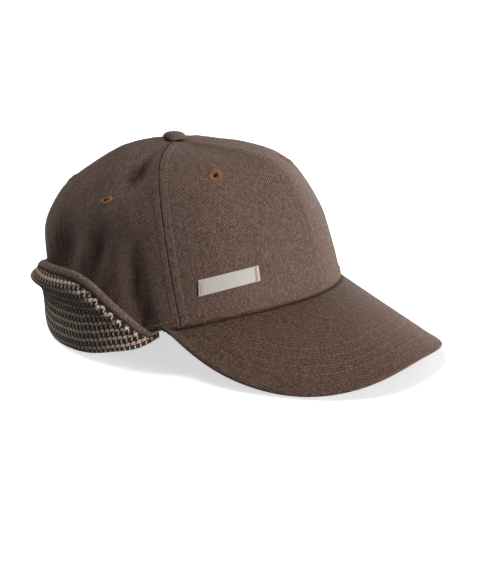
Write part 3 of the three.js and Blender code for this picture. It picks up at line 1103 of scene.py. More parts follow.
@dataclass(frozen=True)
class HoundstoothFinish:
    """Houndstooth woven two over two: five dark and three light threads by turns, both ways."""

    name: str = "houndstooth_lining"
    pitch_across: float = 0.43
    pitch_up: float = 0.64
    lean: float = 0.33
    threads: float = 8.0
    dark_threads: float = 5.0
    repeat: float = 4.0
    over: float = 2.0
    dark: Colour = srgb(42, 31, 26)
    light: Colour = srgb(250, 224, 202)
    detail: float = 3.0
    shake: float = 1.3
    shake_scale: float = 1.6
    fuzz_scale: float = 2.2
    cloud_scale: float = 0.09
    warp_seed: float = 90.0
    least_value: float = 0.78
    tone_gain: float = 0.32
    fuzz_gain: float = 0.30
    cloud_gain: float = 0.28
    seam_shade: float = 0.5
    dark_share: float = 0.98
    fuzz_share: float = 0.30
    worn_share: float = 0.12
    fuzz_height: float = 0.5
    bump: float = 0.8
    depth: float = 0.22
    roughness: float = 0.95
    gloss: float = 0.1
    sheen: float = 0.15
    sheen_roughness: float = 0.6
    sheen_tint: Colour = srgb(215, 195, 180)
    specular: float = 0.2

    def material(self) -> bpy.types.Material:
        """Makes the finish.

        Returns:
            The material.
        """
        maker = NodeMaker(self.name)
        u, v = maker.weave_place()
        place = maker.pair(u, v)
        shake = (maker.cloud(place, self.shake_scale, self.detail) - 0.5) * self.shake
        across = (u - self.lean * v) / self.pitch_across + shake
        along = v / self.pitch_up + shake
        warp, weft = across // 1.0, along // 1.0
        warp_dark = (warp % self.threads) < (self.dark_threads - 0.5)
        weft_dark = (weft % self.threads) < (self.dark_threads - 0.5)
        warp_up = ((warp + weft) % self.repeat) < (self.over - 0.5)
        dark = warp_dark * warp_up + weft_dark * (1.0 - warp_up)
        tone = maker.chance(warp + self.warp_seed * warp_up, weft)
        fuzz = maker.cloud(place, self.fuzz_scale, self.detail)
        cloud = maker.cloud(place, self.cloud_scale)
        value = self.least_value + self.tone_gain * tone + self.fuzz_gain * fuzz + self.cloud_gain * cloud
        # Painted shade: the lining darker under the rolled edge, at the flap's tips and on the lip round
        # the back.
        value = value * (1.0 - self.seam_shade * maker.seam_share())
        worn_and_painted_shade = self.dark_share * dark + self.fuzz_share * fuzz - self.worn_share
        colour = maker.lit(maker.mix(worn_and_painted_shade, self.light, self.dark), value)
        height = warp_up * across.round_thread() + (1.0 - warp_up) * along.round_thread()
        return maker.finished(
            colour,
            self.roughness - self.gloss * tone,
            maker.bump(height + self.fuzz_height * fuzz, self.bump, self.depth),
            Sheen_Weight=self.sheen,
            Sheen_Roughness=self.sheen_roughness,
            Sheen_Tint=self.sheen_tint,
            Specular_IOR_Level=self.specular,
        )


@dataclass(frozen=True)
class ThreadFinish:
    """Twisted sewing thread."""

    name: str
    dark: Colour
    light: Colour
    twist: float = 0.55
    tone_scale: float = 0.6
    ply_share: float = 0.35
    tone_share: float = 0.75
    bump: float = 0.6
    depth: float = 0.08
    roughness: float = 0.6
    roughness_spread: float = 0.2
    sheen: float = 0.1

    def material(self) -> bpy.types.Material:
        """Makes the finish.

        Returns:
            The material.
        """
        maker = NodeMaker(self.name)
        u, v = maker.weave_place()
        ply = (u / self.twist + v / self.twist).round_thread()
        tone = maker.cloud(maker.pair(u, v), self.tone_scale)
        colour = maker.mix(self.ply_share * ply + self.tone_share * tone, self.dark, self.light)
        normal = maker.bump(ply, self.bump, self.depth)
        roughness = self.roughness + self.roughness_spread * tone
        return maker.finished(colour, roughness, normal, Sheen_Weight=self.sheen)


@dataclass(frozen=True)
class LabelFinish:
    """Bare cream ribbon with a fine rib."""

    name: str = "cream_label_ribbon"
    rib: float = 0.42
    pick: float = 0.3
    cream: Colour = srgb(200, 195, 186)
    shade: Colour = srgb(172, 166, 156)
    cloud_scale: float = 0.25
    cloud_detail: float = 4.0
    rib_share: float = 0.55
    pick_share: float = 0.2
    cloud_share: float = 0.5
    seam_shade: float = 0.35
    pick_height: float = 0.4
    bump: float = 0.6
    depth: float = 0.07
    roughness: float = 0.75
    roughness_spread: float = 0.15
    sheen: float = 0.05

    def material(self) -> bpy.types.Material:
        """Makes the finish.

        Returns:
            The material.
        """
        maker = NodeMaker(self.name)
        u, v = maker.weave_place()
        rib, pick = (v / self.rib).round_thread(), (u / self.pick).round_thread()
        cloud = maker.cloud(maker.pair(u, v), self.cloud_scale, self.cloud_detail)
        tone = self.rib_share * rib + self.pick_share * pick + self.cloud_share * cloud
        # Painted shade: the label darker beside its folded-under ends.
        worn_and_painted_shade = 1.0 - self.seam_shade * maker.seam_share()
        colour = maker.lit(maker.mix(tone, self.shade, self.cream), worn_and_painted_shade)
        normal = maker.bump(rib + self.pick_height * pick, self.bump, self.depth)
        roughness = self.roughness + self.roughness_spread * cloud
        return maker.finished(colour, roughness, normal, Sheen_Weight=self.sheen)


@dataclass(frozen=True)
class FloorFinish:
    """Plain pale floor, lit a little from within so that shadows on it stay soft."""

    name: str = "pale_floor"
    pale: Colour = (0.96, 0.96, 0.96, 1.0)
    shade: Colour = (0.94, 0.94, 0.94, 1.0)
    cloud_scale: float = 6.0
    bump: float = 0.02
    depth: float = 0.1
    roughness: float = 0.9
    specular: float = 0.1
    glow: float = 0.65

    def material(self) -> bpy.types.Material:
        """Makes the finish.

        Returns:
            The material.
        """
        maker = NodeMaker(self.name)
        cloud = maker.cloud(maker.out("ShaderNodeTexCoord", "Object"), self.cloud_scale)
        return maker.finished(
            maker.mix(cloud, self.pale, self.shade),
            self.roughness,
            maker.bump(cloud, self.bump, self.depth),
            Specular_IOR_Level=self.specular,
            Emission_Color=self.pale,
            Emission_Strength=self.glow,
        )


@dataclass(frozen=True)
class Finishes:
    """The cap's materials, made once."""

    twill: bpy.types.Material
    peak: bpy.types.Material
    edge: bpy.types.Material
    lining: bpy.types.Material
    thread: bpy.types.Material
    dark_thread: bpy.types.Material
    pale_thread: bpy.types.Material
    label: bpy.types.Material

    @staticmethod
    def made() -> "Finishes":
        """Makes all of them.

        Returns:
            The materials.
        """
        # Painted shade: the peak's twill is a darker, more saturated copy of the crown's twill.
        peak = TwillFinish(
            "shaded_brown_peak_twill",
            dark=srgb(72, 54, 45),
            body=srgb(99, 76, 64),
            light=srgb(120, 95, 82),
            fleck=srgb(114, 84, 63),
        )
        edge = TwillFinish("brown_edge_twill", 0.5, body=srgb(112, 92, 83), light=srgb(164, 140, 128))
        return Finishes(
            TwillFinish().material(),
            peak.material(),
            edge.material(),
            HoundstoothFinish().material(),
            ThreadFinish("tan_thread", srgb(94, 62, 34), srgb(158, 110, 64)).material(),
            ThreadFinish("dark_thread", srgb(24, 19, 17), srgb(52, 42, 37)).material(),
            ThreadFinish("pale_thread", srgb(126, 98, 68), srgb(180, 152, 116)).material(),
            LabelFinish().material(),
        )


def place_piece(piece: bpy.types.Object, slot: Slot, *nodes: str) -> bpy.types.Object:
    """Ties a piece to the CAD body.

    Args:
        piece: The piece.
        slot: Its material slot; not used.
        nodes: CAD nodes that it stands for.

    Returns:
        The piece.
    """
    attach(piece, BODY)
    if nodes:
        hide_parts(*nodes)
    LOG.info("%s: %d faces", piece.name, len(piece.data.polygons))
    return piece


@dataclass
class Eyelet:
    """A sewn air hole with a ring of thread wound round it.

    Its place is a share across the right and the left panel and up the crown. Stretch, squash and tilt say
    how it is pulled out of round.
    """

    kind: PanelKind
    right: float
    left: float
    share: float
    stretch: float = 1.0
    squash: float = 1.0
    tilt: float = 0.0
    panel_gap: float = 0.3
    outer: float = 3.75
    hole: float = 1.3
    cut: float = 1.8
    cut_sides: int = 24
    cut_walls: float = 3.0
    rise: float = 0.42
    thick: float = 0.30
    inner_thick: float = 0.45
    loops: int = 36
    steps: int = 18
    sides: int = 6
    seed: int = 7
    scatter: float = 0.35
    ragged: float = 0.22
    side_power: float = 0.7
    top_power: float = 0.6
    loop_twist: float = 3.0
    step_twist: float = 0.4

    def place(self, crown: CrownShape, side: Side) -> tuple[Array, Array, Array, Array]:
        """Place of the eyelet.

        Args:
            crown: The crown.
            side: The wearer's side.

        Returns:
            Its middle in the cloth's wall, the way it faces, and its long and short way along the cloth.
        """
        share = np.array(self.share)
        across = np.array(self.right if side is Side.RIGHT else self.left)
        angle = crown.panel_angle(self.kind, side, across, share, self.panel_gap)
        facing = outward(crown.cloth, angle, share, crown.angle_step, crown.share_step)
        middle = crown.cloth(angle, share) - facing * crown.wall / 2.0
        level = unit(np.cross(facing, np.array([0.0, 0.0, 1.0])))
        turn = side.value * math.radians(self.tilt)
        long = math.cos(turn) * level + math.sin(turn) * np.cross(facing, level)
        return middle, facing, self.stretch * long, self.squash * np.cross(facing, long)

    def cutter(self, crown: CrownShape, side: Side) -> MeshData:
        """Round cutter of the panel's hole.

        Args:
            crown: The crown.
            side: The wearer's side.

        Returns:
            Its closed mesh.
        """
        middle, facing, first, second = self.place(crown, side)
        ring = self.cut * around(full_turn(self.cut_sides), first, second)
        depth = self.cut_walls * crown.wall
        rings = np.stack([middle + ring - facing * depth, middle + ring + facing * depth])[None]
        return tubes(rings, tube_places(rings, 0.0, 0.0))

    def ring(self, crown: CrownShape, side: Side) -> MeshData:
        """Thread wound round the hole's edge, loop beside loop.

        Args:
            crown: The crown.
            side: The wearer's side.

        Returns:
            The loops as one mesh.
        """
        middle, facing, first, second = self.place(crown, side)
        chance = np.random.default_rng(self.seed + len(PanelKind) * self.kind.value + side.value)
        turn = 2.0 * np.pi * (np.arange(self.loops) + self.scatter * chance.random(self.loops)) / self.loops
        reach = self.outer + self.ragged * (chance.random(self.loops) - 0.5)
        outwards = around(turn, first, second)
        beside = unit(np.cross(facing, outwards))
        go = full_turn(self.steps)
        high = crown.wall / 2.0 + self.rise
        swing = np.sign(np.cos(go)) * np.abs(np.cos(go)) ** self.side_power
        lift = np.sign(np.sin(go)) * np.abs(np.sin(go)) ** self.top_power * high
        radius = (self.hole + reach)[:, None] / 2.0 + (reach - self.hole)[:, None] / 2.0 * swing
        line = middle + radius[..., None] * outwards[:, None] + lift[None, :, None] * facing
        way = unit(np.roll(line, -1, 1) - np.roll(line, 1, 1))
        off = np.cross(way, beside[:, None])
        out = (radius - self.hole) / (reach[:, None] - self.hole)
        thick = self.thick * (self.inner_thick + (1.0 - self.inner_thick) * out)
        strand = full_turn(self.sides)
        spread = around(strand, beside[:, None, None], off[:, :, None])
        rings = line[:, :, None] + thick[:, :, None, None] * spread
        along = np.arange(self.loops)[:, None] * self.loop_twist + np.arange(self.steps) * self.step_twist
        return tubes(rings, tube_places(rings, along[..., None], self.thick * strand), closed=True)


@dataclass
class Crown:
    """The six sewn panels with their air holes and the stitch rows along their seams."""

    shape: CrownShape = CrownShape()
    columns: int = 64
    rows: int = 116
    edge_strength: float = 0.8
    hem_strength: float = 0.55
    gap: float = 0.10
    seam_shade_half: float = 0.4
    hem_shade: float = 0.8
    hem_shade_half: float = 0.7
    button_clear: float = 6.4
    row_span: tuple[float, float] = (0.03, 0.975)
    row_points: int = 500
    hem_points: int = 1500
    finer: float = 5.0
    seam_stitch: Stitch = Stitch(2.8, 1.7, 0.18, 0.0, 0.12)
    hem_stitch: Stitch = Stitch(3.4, 2.2, 0.34, 0.14, 0.18)
    eyelets: tuple[Eyelet, ...] = (
        Eyelet(PanelKind.FRONT, 0.55, 0.38, 0.69, 1.35, 1.15, 90.0),
        Eyelet(PanelKind.SIDE, 0.45, 0.45, 0.53, 1.15, 0.6, 27.0),
        Eyelet(PanelKind.BACK, 0.55, 0.55, 0.52),
    )

    def panel(self, kind: PanelKind, side: Side) -> MeshData:
        """One panel's cloth, without its hole.

        Args:
            kind: The panel.
            side: The wearer's side.

        Returns:
            Its closed mesh; the inner faces of panels meet.
        """
        t = np.linspace(0.0, 1.0, self.rows + 1)
        share = self.shape.top * ((1.0 - self.hem_strength) * t + self.hem_strength * t**2)
        across, share = np.meshgrid(dense_ends(self.columns, self.edge_strength), share)
        angle = self.shape.panel_angle(kind, side, across, share, self.gap)
        outer = self.shape.cloth(angle, share)
        inner = self.shape.inner(self.shape.panel_angle(kind, side, across, share, 0.0), share)
        distance, _, opened = self.shape.seam_place(angle, share)
        hem = self.hem_shade * bell(self.shape.hem_distance(angle, share), self.hem_shade_half)
        seam = np.maximum(opened * bell(distance, self.seam_shade_half), hem)
        middle, half = self.shape.smooth(angle, share), self.columns // 2
        run, climb = lengths_along(middle), lengths_along(middle[:, half])
        u = side.value * (run[:, [half]] - run)
        flat = np.stack([u, np.broadcast_to(climb[:, None], u.shape)], -1)
        return wall(outer, inner, flat, seam)

    def build(self, finishes: Finishes) -> None:
        """Makes the panels, their eyelets and their stitch rows.

        Args:
            finishes: The cap's materials.
        """
        for side in Side:
            for eyelet in self.eyelets:
                kind, name = eyelet.kind, f"{eyelet.kind.name}_{side.name}".lower()
                piece = self.panel(kind, side).to_object(f"{name}_cloth", finishes.twill)
                bore(piece, eyelet.cutter(self.shape, side))
                place_piece(piece, Slot.TWILL, f"{name}_panel")
                ring = eyelet.ring(self.shape, side).to_object(f"{name}_eyelet_thread", finishes.thread)
                place_piece(ring, Slot.THREAD, f"eyelet_{name}")
        rows = MeshData.joined(self.seam_rows())
        place_piece(rows.to_object("seam_stitches", finishes.thread), Slot.THREAD)
        place_piece(self.hem_row().to_object("hem_stitches", finishes.thread), Slot.THREAD)

    def line(self, angle: Array, share: Array) -> tuple[Array, Array]:
        """A line on the cloth.

        Args:
            angle: Angles round the crown.
            share: Shares of the height.

        Returns:
            Its points and the way the cloth faces there.
        """
        shape, finer = self.shape, self.finer
        facing = outward(shape.cloth, angle, share, shape.angle_step / finer, shape.share_step / finer)
        return shape.cloth(angle, share), facing

    def seam_rows(self) -> list[MeshData]:
        """A stitch row on both sides of each seam, from the hem to the button.

        Returns:
            One mesh for each row.
        """
        share = np.linspace(*self.row_span, self.row_points)
        bounds = self.shape.seam_angles(share)
        top = np.array([0.0, self.shape.apex_back])
        seams = range(len(SEAMS))
        pairs = [(index, index + step) for index in seams for step in (-1, 1) if index + step in seams]
        rows = []
        for side in Side:
            for index, other in pairs:
                length = self.shape.degree_length(bounds[index], share)
                width = np.abs(bounds[other] - bounds[index]) * length
                angle = side.value * (bounds[index] + (other - index) * self.shape.inset(width) / length)
                points, normals = self.line(angle, share)
                seen = np.linalg.norm(points[:, :2] - top, axis=1) > self.button_clear
                rows.append(self.seam_stitch.row(points[seen], normals[seen]))
        return rows

    def hem_row(self) -> MeshData:
        """The stitch row along the hem.

        Returns:
            The stitches as one mesh.
        """
        angle = np.linspace(-180.0, 180.0, self.hem_points)
        share = self.shape.share_above(angle, self.shape.sewing.hem_row)
        return self.hem_stitch.row(*self.line(angle, share))


def bore(piece: bpy.types.Object, cutter: MeshData) -> None:
    """Cuts a hole through a piece.

    Args:
        piece: The piece to cut.
        cutter: Closed mesh of what is cut away.
    """
    tool = cutter.to_object("cutter", piece.data.materials[0])
    change = piece.modifiers.new("hole", "BOOLEAN")
    change.operation, change.solver, change.object = "DIFFERENCE", "EXACT", tool
    graph = bpy.context.evaluated_depsgraph_get()
    cut = bpy.data.meshes.new_from_object(piece.evaluated_get(graph))
    piece.modifiers.clear()
    piece.data = cut
    bpy.data.objects.remove(tool)


@dataclass
class TopButton:
    """The cloth-covered button on top."""

    radius: float = 7.2
    height: float = 4.4
    lift: float = 0.6
    pleats: int = 16
    pleat_depth: float = 0.016
    pleat_fade: float = 1.5
    sides: int = 64
    rings: int = 33
    flat_lean: float = 0.4
    sharp: float = 70.0
    dome: Table = Table(
        ("share", "radius", "height"),
        (
            (0.0, 0.70, 0.00),
            (0.12, 0.92, 0.05),
            (0.26, 1.00, 0.24),
            (0.42, 0.97, 0.50),
            (0.58, 0.84, 0.75),
            (0.74, 0.60, 0.91),
            (0.88, 0.30, 0.985),
            (1.0, 0.02, 1.0),
        ),
    )

    def build(self, crown: CrownShape, finishes: Finishes) -> None:
        """Makes the button.

        Args:
            crown: The crown that it sits on.
            finishes: The cap's materials.
        """
        share, turn = np.linspace(0.0, 1.0, self.rings), full_turn(self.sides)
        fade = (1.0 - share)[:, None] ** self.pleat_fade
        pleat = self.pleat_depth * np.cos(self.pleats * turn)[None] * fade
        radius = self.radius * self.dome.at("radius", share)[:, None] * (1.0 + pleat)
        height = crown.apex_height + self.lift + self.height * self.dome.at("height", share)
        x, y = radius * np.cos(turn), radius * np.sin(turn)
        z = np.broadcast_to(height[:, None], x.shape)
        rings = np.stack([x, y + crown.apex_back, z], -1)[None]
        flat = np.stack([x + self.flat_lean * z, y + self.flat_lean * z], -1)[None]
        piece = tubes(rings, flat).to_object("button_cloth", finishes.twill, self.sharp)
        place_piece(piece, Slot.TWILL, "top_button")


@dataclass
class Label:
    """The bare label, folded under at its short ends and sewn down there."""

    angle: float = 40.5
    share: float = 0.158
    spread: float = 23.5
    lean: float = 0.018
    height: float = 0.069
    under: float = 0.1
    thickness: float = 0.5
    end_fold: float = 0.22
    end_length: float = 0.05
    end_ease: float = 1.6
    round_off: float = 0.22
    end_round: float = 0.008
    side_round: float = 0.05
    wave: float = 0.07
    wave_along: Wave = Wave(9.0, 0.0, 2.0)
    wave_up: Wave = Wave(0.0, 4.0)
    columns: int = 72
    rows: int = 20
    edge_strength: float = 0.6
    end_shade: float = 0.2
    shade_place: float = 1.5
    shade_half: float = 0.01
    sew_in: float = 0.055
    sew_span: tuple[float, float] = (0.06, 0.94)
    sewn_dip: float = 0.16
    sewn_half: float = 0.012
    zigs: int = 9
    zig_width: float = 0.022
    zig_points: int = 40
    stitch: Stitch = Stitch(1.25, 1.15, 0.22, 0.06, 0.14)

    def place(self, across: Array, up: Array) -> tuple[Array, Array]:
        """Angles and shares of places on the label."""
        angle = self.angle + self.spread * (0.5 - across)
        return angle, self.share + self.lean * (across - 0.5) + self.height * (up - 0.5)

    def rise(self, across: Array, up: Array) -> Array:
        """Height of the label's face over the crown.

        Args:
            across: Shares along the label.
            up: Shares up it.

        Returns:
            Millimetres outwards.
        """
        end, side = from_ends(across), from_ends(up)
        fold = self.end_fold * (1.0 - smoothstep(end, self.end_length, self.end_ease * self.end_length))
        sewn = self.sewn_dip * bell(end - self.sew_in, self.sewn_half)
        rounded = self.round_off * (bell(end, self.end_round) + bell(side, self.side_round))
        wave = self.wave * self.wave_along.at(across, up) * self.wave_up.at(across, up)
        return self.under + self.thickness + fold - sewn - rounded + wave

    def end_row(self, crown: CrownShape, start: float) -> MeshData:
        """Zigzag stitches along a short end.

        Args:
            crown: The crown under the label.
            start: Share along the label.

        Returns:
            The stitches as one mesh.
        """
        up = np.linspace(*self.sew_span, self.zig_points * self.zigs)
        zig = 2.0 * np.abs((up * self.zigs / 2.0) % 1.0 - 0.5) - 0.5
        across = start + 2.0 * self.zig_width * zig
        angle, share = self.place(across, up)
        points = crown.cloth(angle, share, self.rise(across, up))
        return self.stitch.row(points, crown.normal(angle, share))

    def build(self, crown: CrownShape, finishes: Finishes) -> None:
        """Makes the label and its end stitches.

        Args:
            crown: The crown under it.
            finishes: The cap's materials.
        """
        across, up = np.meshgrid(
            dense_ends(self.columns, self.edge_strength), dense_ends(self.rows, self.edge_strength)
        )
        angle, share = self.place(across, up)
        outer = crown.cloth(angle, share, self.rise(across, up))
        inner = crown.cloth(angle, share, self.under / 2.0)
        run = np.linalg.norm(outer[self.rows // 2, -1] - outer[self.rows // 2, 0])
        climb = np.linalg.norm(outer[-1, self.columns // 2] - outer[0, self.columns // 2])
        shaded = self.end_length * self.shade_place
        seam = self.end_shade * bell(from_ends(across) - shaded, self.shade_half)
        piece = wall(outer, inner, np.stack([across * run, up * climb], -1), seam)
        place_piece(piece.to_object("label_cloth", finishes.label), Slot.LABEL, "label")
        rows = MeshData.joined([self.end_row(crown, start) for start in (self.sew_in, 1.0 - self.sew_in)])
        place_piece(rows.to_object("label_stitches", finishes.pale_thread), Slot.THREAD)


@dataclass
class Peak:
    """The stiff covered peak, with a welt along its rim and rows of stitches."""

    half_width: float = 84.5
    length: float = 75.0
    slope: float = 22.0
    arch: float = 36.0
    arch_power: float = 2.3
    outline_power: float = 2.95
    reach: float = 65.0
    over: float = 0.7
    under: float = 2.1
    gap: float = 0.3
    tucked: float = 2.4
    tuck_rise: float = 2.0
    tuck_run: float = 0.8
    ending: float = 0.5
    end_run: float = 4.0
    end_thick: float = 0.45
    step: float = 0.01
    upright: float = 0.06
    columns: int = 200
    rows: int = 60
    column_strength: float = 0.7
    row_strength: float = 0.8
    sharp: float = 75.0
    rim_round: float = 1.8
    rim_least: float = 0.03
    welt: float = 0.32
    welt_width: float = 2.6
    welt_ease: float = 1.6
    crease: float = 0.9
    crease_half: float = 1.3
    crease_shade: float = 0.85
    shade_half: float = 0.9
    row_places: tuple[float, ...] = (13.6, 19.6, 26.0, 32.5)
    row_start: float = 0.03
    row_end: float = 0.93
    row_points: int = 900
    row_dip: float = 0.22
    row_dip_half: float = 0.8
    stitch: Stitch = Stitch(2.9, 1.9, 0.23, 0.04, 0.14)
    crown: CrownShape = CrownShape()

    def drop(self, x: Array) -> Array:
        """How far the arched sheet lies below its middle, square to it."""
        return self.arch * (np.abs(x) / self.half_width) ** self.arch_power

    def sheet(self, x: Array, forward: Array) -> Array:
        """Points of the arched sheet that the peak is cut from.

        Args:
            x: Places across it.
            forward: Distances forward along it from the crown's front.

        Returns:
            The points.
        """
        slope, drop = math.radians(self.slope), self.drop(x)
        y = -self.crown.half_length - forward * math.cos(slope) + drop * math.sin(slope)
        z = HEM.rows[0][1] - forward * math.sin(slope) - drop * math.cos(slope)
        return np.stack([x, y, z], -1)

    def hem_forward(self, hem: Array) -> Array:
        """How far forward on the sheet points of the hem lie."""
        slope, drop = math.radians(self.slope), self.drop(hem[..., 0])
        return (-self.crown.half_length - hem[..., 1] + drop * math.sin(slope)) / math.cos(slope)

    def point(self, across: Array, out: Array) -> Array:
        """Points of the peak's middle sheet.

        Args:
            across: From -1 at its left end to 1 at its right.
            out: From 0 at the hem to 1 at the rim.

        Returns:
            The points.
        """
        across, out = np.broadcast_arrays(np.asarray(across, float), np.asarray(out, float))
        angle = across * self.reach
        hem = self.crown.hem_point(angle, -self.tucked)
        hem_x, hem_out = hem[..., 0], self.hem_forward(hem)
        corner = self.crown.hem_point(np.array(self.reach), self.gap)
        corner_x, corner_out = abs(float(corner[0])), self.hem_forward(corner)
        turn, power = across * np.pi / 2.0, 2.0 / self.outline_power
        edge = self.half_width * np.abs(np.sin(turn)) ** power
        far = np.abs(np.cos(turn)) ** power
        leave = np.minimum(far / self.ending, 1.0)
        rim_x = -np.sign(across) * (corner_x + (edge - corner_x) * leave * (2.0 - leave))
        rim_out = corner_out + (self.length - corner_out) * far
        point = self.sheet(hem_x + (rim_x - hem_x) * out, hem_out + (rim_out - hem_out) * out)
        base = self.sheet(hem_x, hem_out)
        point[..., 2] += (self.crown.hem_height(angle) - base[..., 2]) * (1.0 - out) ** 2
        return point

    def normal(self, across: Array, out: Array) -> Array:
        """Upward directions of the peak, upright along the hem.

        Args:
            across: Places across it, as for its points.
            out: Places out on it.

        Returns:
            Directions one long.
        """
        within = np.clip(across, self.step - 1.0, 1.0 - self.step)
        facing = outward(self.point, within, np.minimum(out, 1.0 - self.step), self.step, self.step)
        facing = np.where(facing[..., 2:] < 0, -facing, facing)
        upright = np.clip(1.0 - out / self.upright, 0.0, 1.0)[..., None]
        return unit(facing * (1.0 - upright) + np.array([0.0, 0.0, 1.0]) * upright)

    def run(self, across: Array) -> Array:
        """Distance from the hem to the rim along the peak, as far as it leads square away from the rim.

        Args:
            across: Places across it.

        Returns:
            Millimetres.
        """
        rim, hem = self.point(across, 1.0), self.point(across, 0.0)
        within = np.clip(across, self.step - 1.0, 1.0 - self.step)
        way = unit(self.point(within + self.step, 1.0) - self.point(within - self.step, 1.0))
        return np.linalg.norm(np.cross(hem - rim, way), axis=-1)

    def hem_gap(self, across: Array, out: Array) -> Array:
        """Distance out from the edge that is tucked under the crown's hem."""
        return np.linalg.norm(self.point(across, out) - self.point(across, 0.0), axis=-1)

    def face(self, across: Array, out: Array, sign: int) -> Array:
        """Points of a face.

        Args:
            across: Places across the peak.
            out: Places out on it.
            sign: 1 for the upper face, -1 for the lower one.

        Returns:
            The points.
        """
        run, hem_gap = self.run(across), self.hem_gap(across, out)
        away = run * (1.0 - out)
        rounded = np.sqrt(1.0 - (1.0 - np.clip(away / self.rim_round, self.rim_least, 1.0)) ** 2)
        relief = self.welt * (1.0 - smoothstep(away, self.welt_width, self.welt_width + self.welt_ease))
        for place in self.row_places:
            relief = relief - self.row_dip * bell(away - place, self.row_dip_half)
        relief = relief - self.crease * bell(hem_gap - self.tucked, self.crease_half)
        thick = (self.over if sign > 0 else self.under) * rounded
        ends = smoothstep(run, 0.0, self.end_run)
        lift = sign * (thick * (self.end_thick + (1.0 - self.end_thick) * ends) + relief * rounded * ends)
        lift = lift + self.tuck_rise * (1.0 - smoothstep(hem_gap, 0.0, self.tuck_run))
        return self.point(across, out) + self.normal(across, out) * lift[..., None]

    def build(self, finishes: Finishes) -> None:
        """Makes the peak and its stitch rows.

        Args:
            finishes: The cap's materials.
        """
        across, out = np.meshgrid(
            dense_ends(self.columns, self.column_strength, -1.0), dense_ends(self.rows, self.row_strength)
        )
        middle, slope = self.point(across, out), math.radians(self.slope)
        upper, lower = self.face(across, out, 1), self.face(across, out, -1)
        seam = self.crease_shade * bell(self.hem_gap(across, out) - self.tucked, self.shade_half)
        forward = -middle[..., 1] * math.cos(slope) - middle[..., 2] * math.sin(slope)
        cloth = wall(upper, lower, np.stack([middle[..., 0], forward], -1), seam)
        place_piece(cloth.to_object("peak_cloth", finishes.peak, self.sharp), Slot.TWILL, "peak")
        lines = [self.row_line(place, sign) for place in self.row_places for sign in (1, -1)]
        rows = MeshData.joined([self.stitch.row(*line) for line in lines])
        place_piece(rows.to_object("peak_stitches", finishes.thread), Slot.THREAD)

    def row_line(self, place: float, sign: int) -> tuple[Array, Array]:
        """Line of a stitch row.

        Args:
            place: Its distance in from the rim.
            sign: 1 on the upper face, -1 on the lower one.

        Returns:
            Its points and the way the cloth faces there.
        """
        across = np.linspace(-self.row_end, self.row_end, self.row_points)
        out = 1.0 - place / np.maximum(self.run(across), 1e-6)
        kept = out > self.row_start
        across, out = across[kept], out[kept]
        return self.face(across, out, sign), sign * self.normal(across, out)


@dataclass
class CornerTacks:
    """Dark bar tacks where the peak meets the flap, with loose thread ends on the wearer's right."""

    angle: float = 65.6
    bars: int = 6
    spacing: float = 0.28
    low: float = 0.4
    high: float = 2.8
    bar_points: int = 16
    bar: Stitch = Stitch(2.4, 2.3, 0.21, 0.06, 0.14)
    end: Stitch = Stitch(9.0, 2.0, 0.17, 0.0, 0.0, 9)
    end_off: float = 0.2
    end_points: int = 20
    tails: Table = Table(("length", "lean"), ((2.6, 1.0), (3.8, -0.4), (5.2, 0.5)))

    def build(self, crown: Crown, finishes: Finishes) -> None:
        """Makes the tacks and the loose ends.

        Args:
            crown: The crown that they are sewn to.
            finishes: The cap's materials.
        """
        shape, up = crown.shape, np.linspace(self.low, self.high, self.bar_points)
        rows = []
        for side in Side:
            for index in range(self.bars):
                angle = np.full(len(up), side.value * (self.angle + self.spacing * index))
                rows.append(self.bar.row(*crown.line(angle, shape.share_above(angle, up))))
        start = shape.hem_point(np.array(self.angle + self.spacing * self.bars / 2.0), self.end_off)
        facing = shape.normal(np.array(self.angle), np.array(0.0))
        t = np.linspace(0.0, 1.0, self.end_points)[:, None]
        for length, lean in self.tails.rows:
            down = np.array([0.0, lean, 0.0]) * t**2 - np.array([0.0, 0.0, length]) * t
            loose = replace(self.end, length=length)
            rows.append(loose.row(start + down, np.broadcast_to(facing, down.shape)))
        place_piece(MeshData.joined(rows).to_object("corner_tacks", finishes.dark_thread), Slot.THREAD)


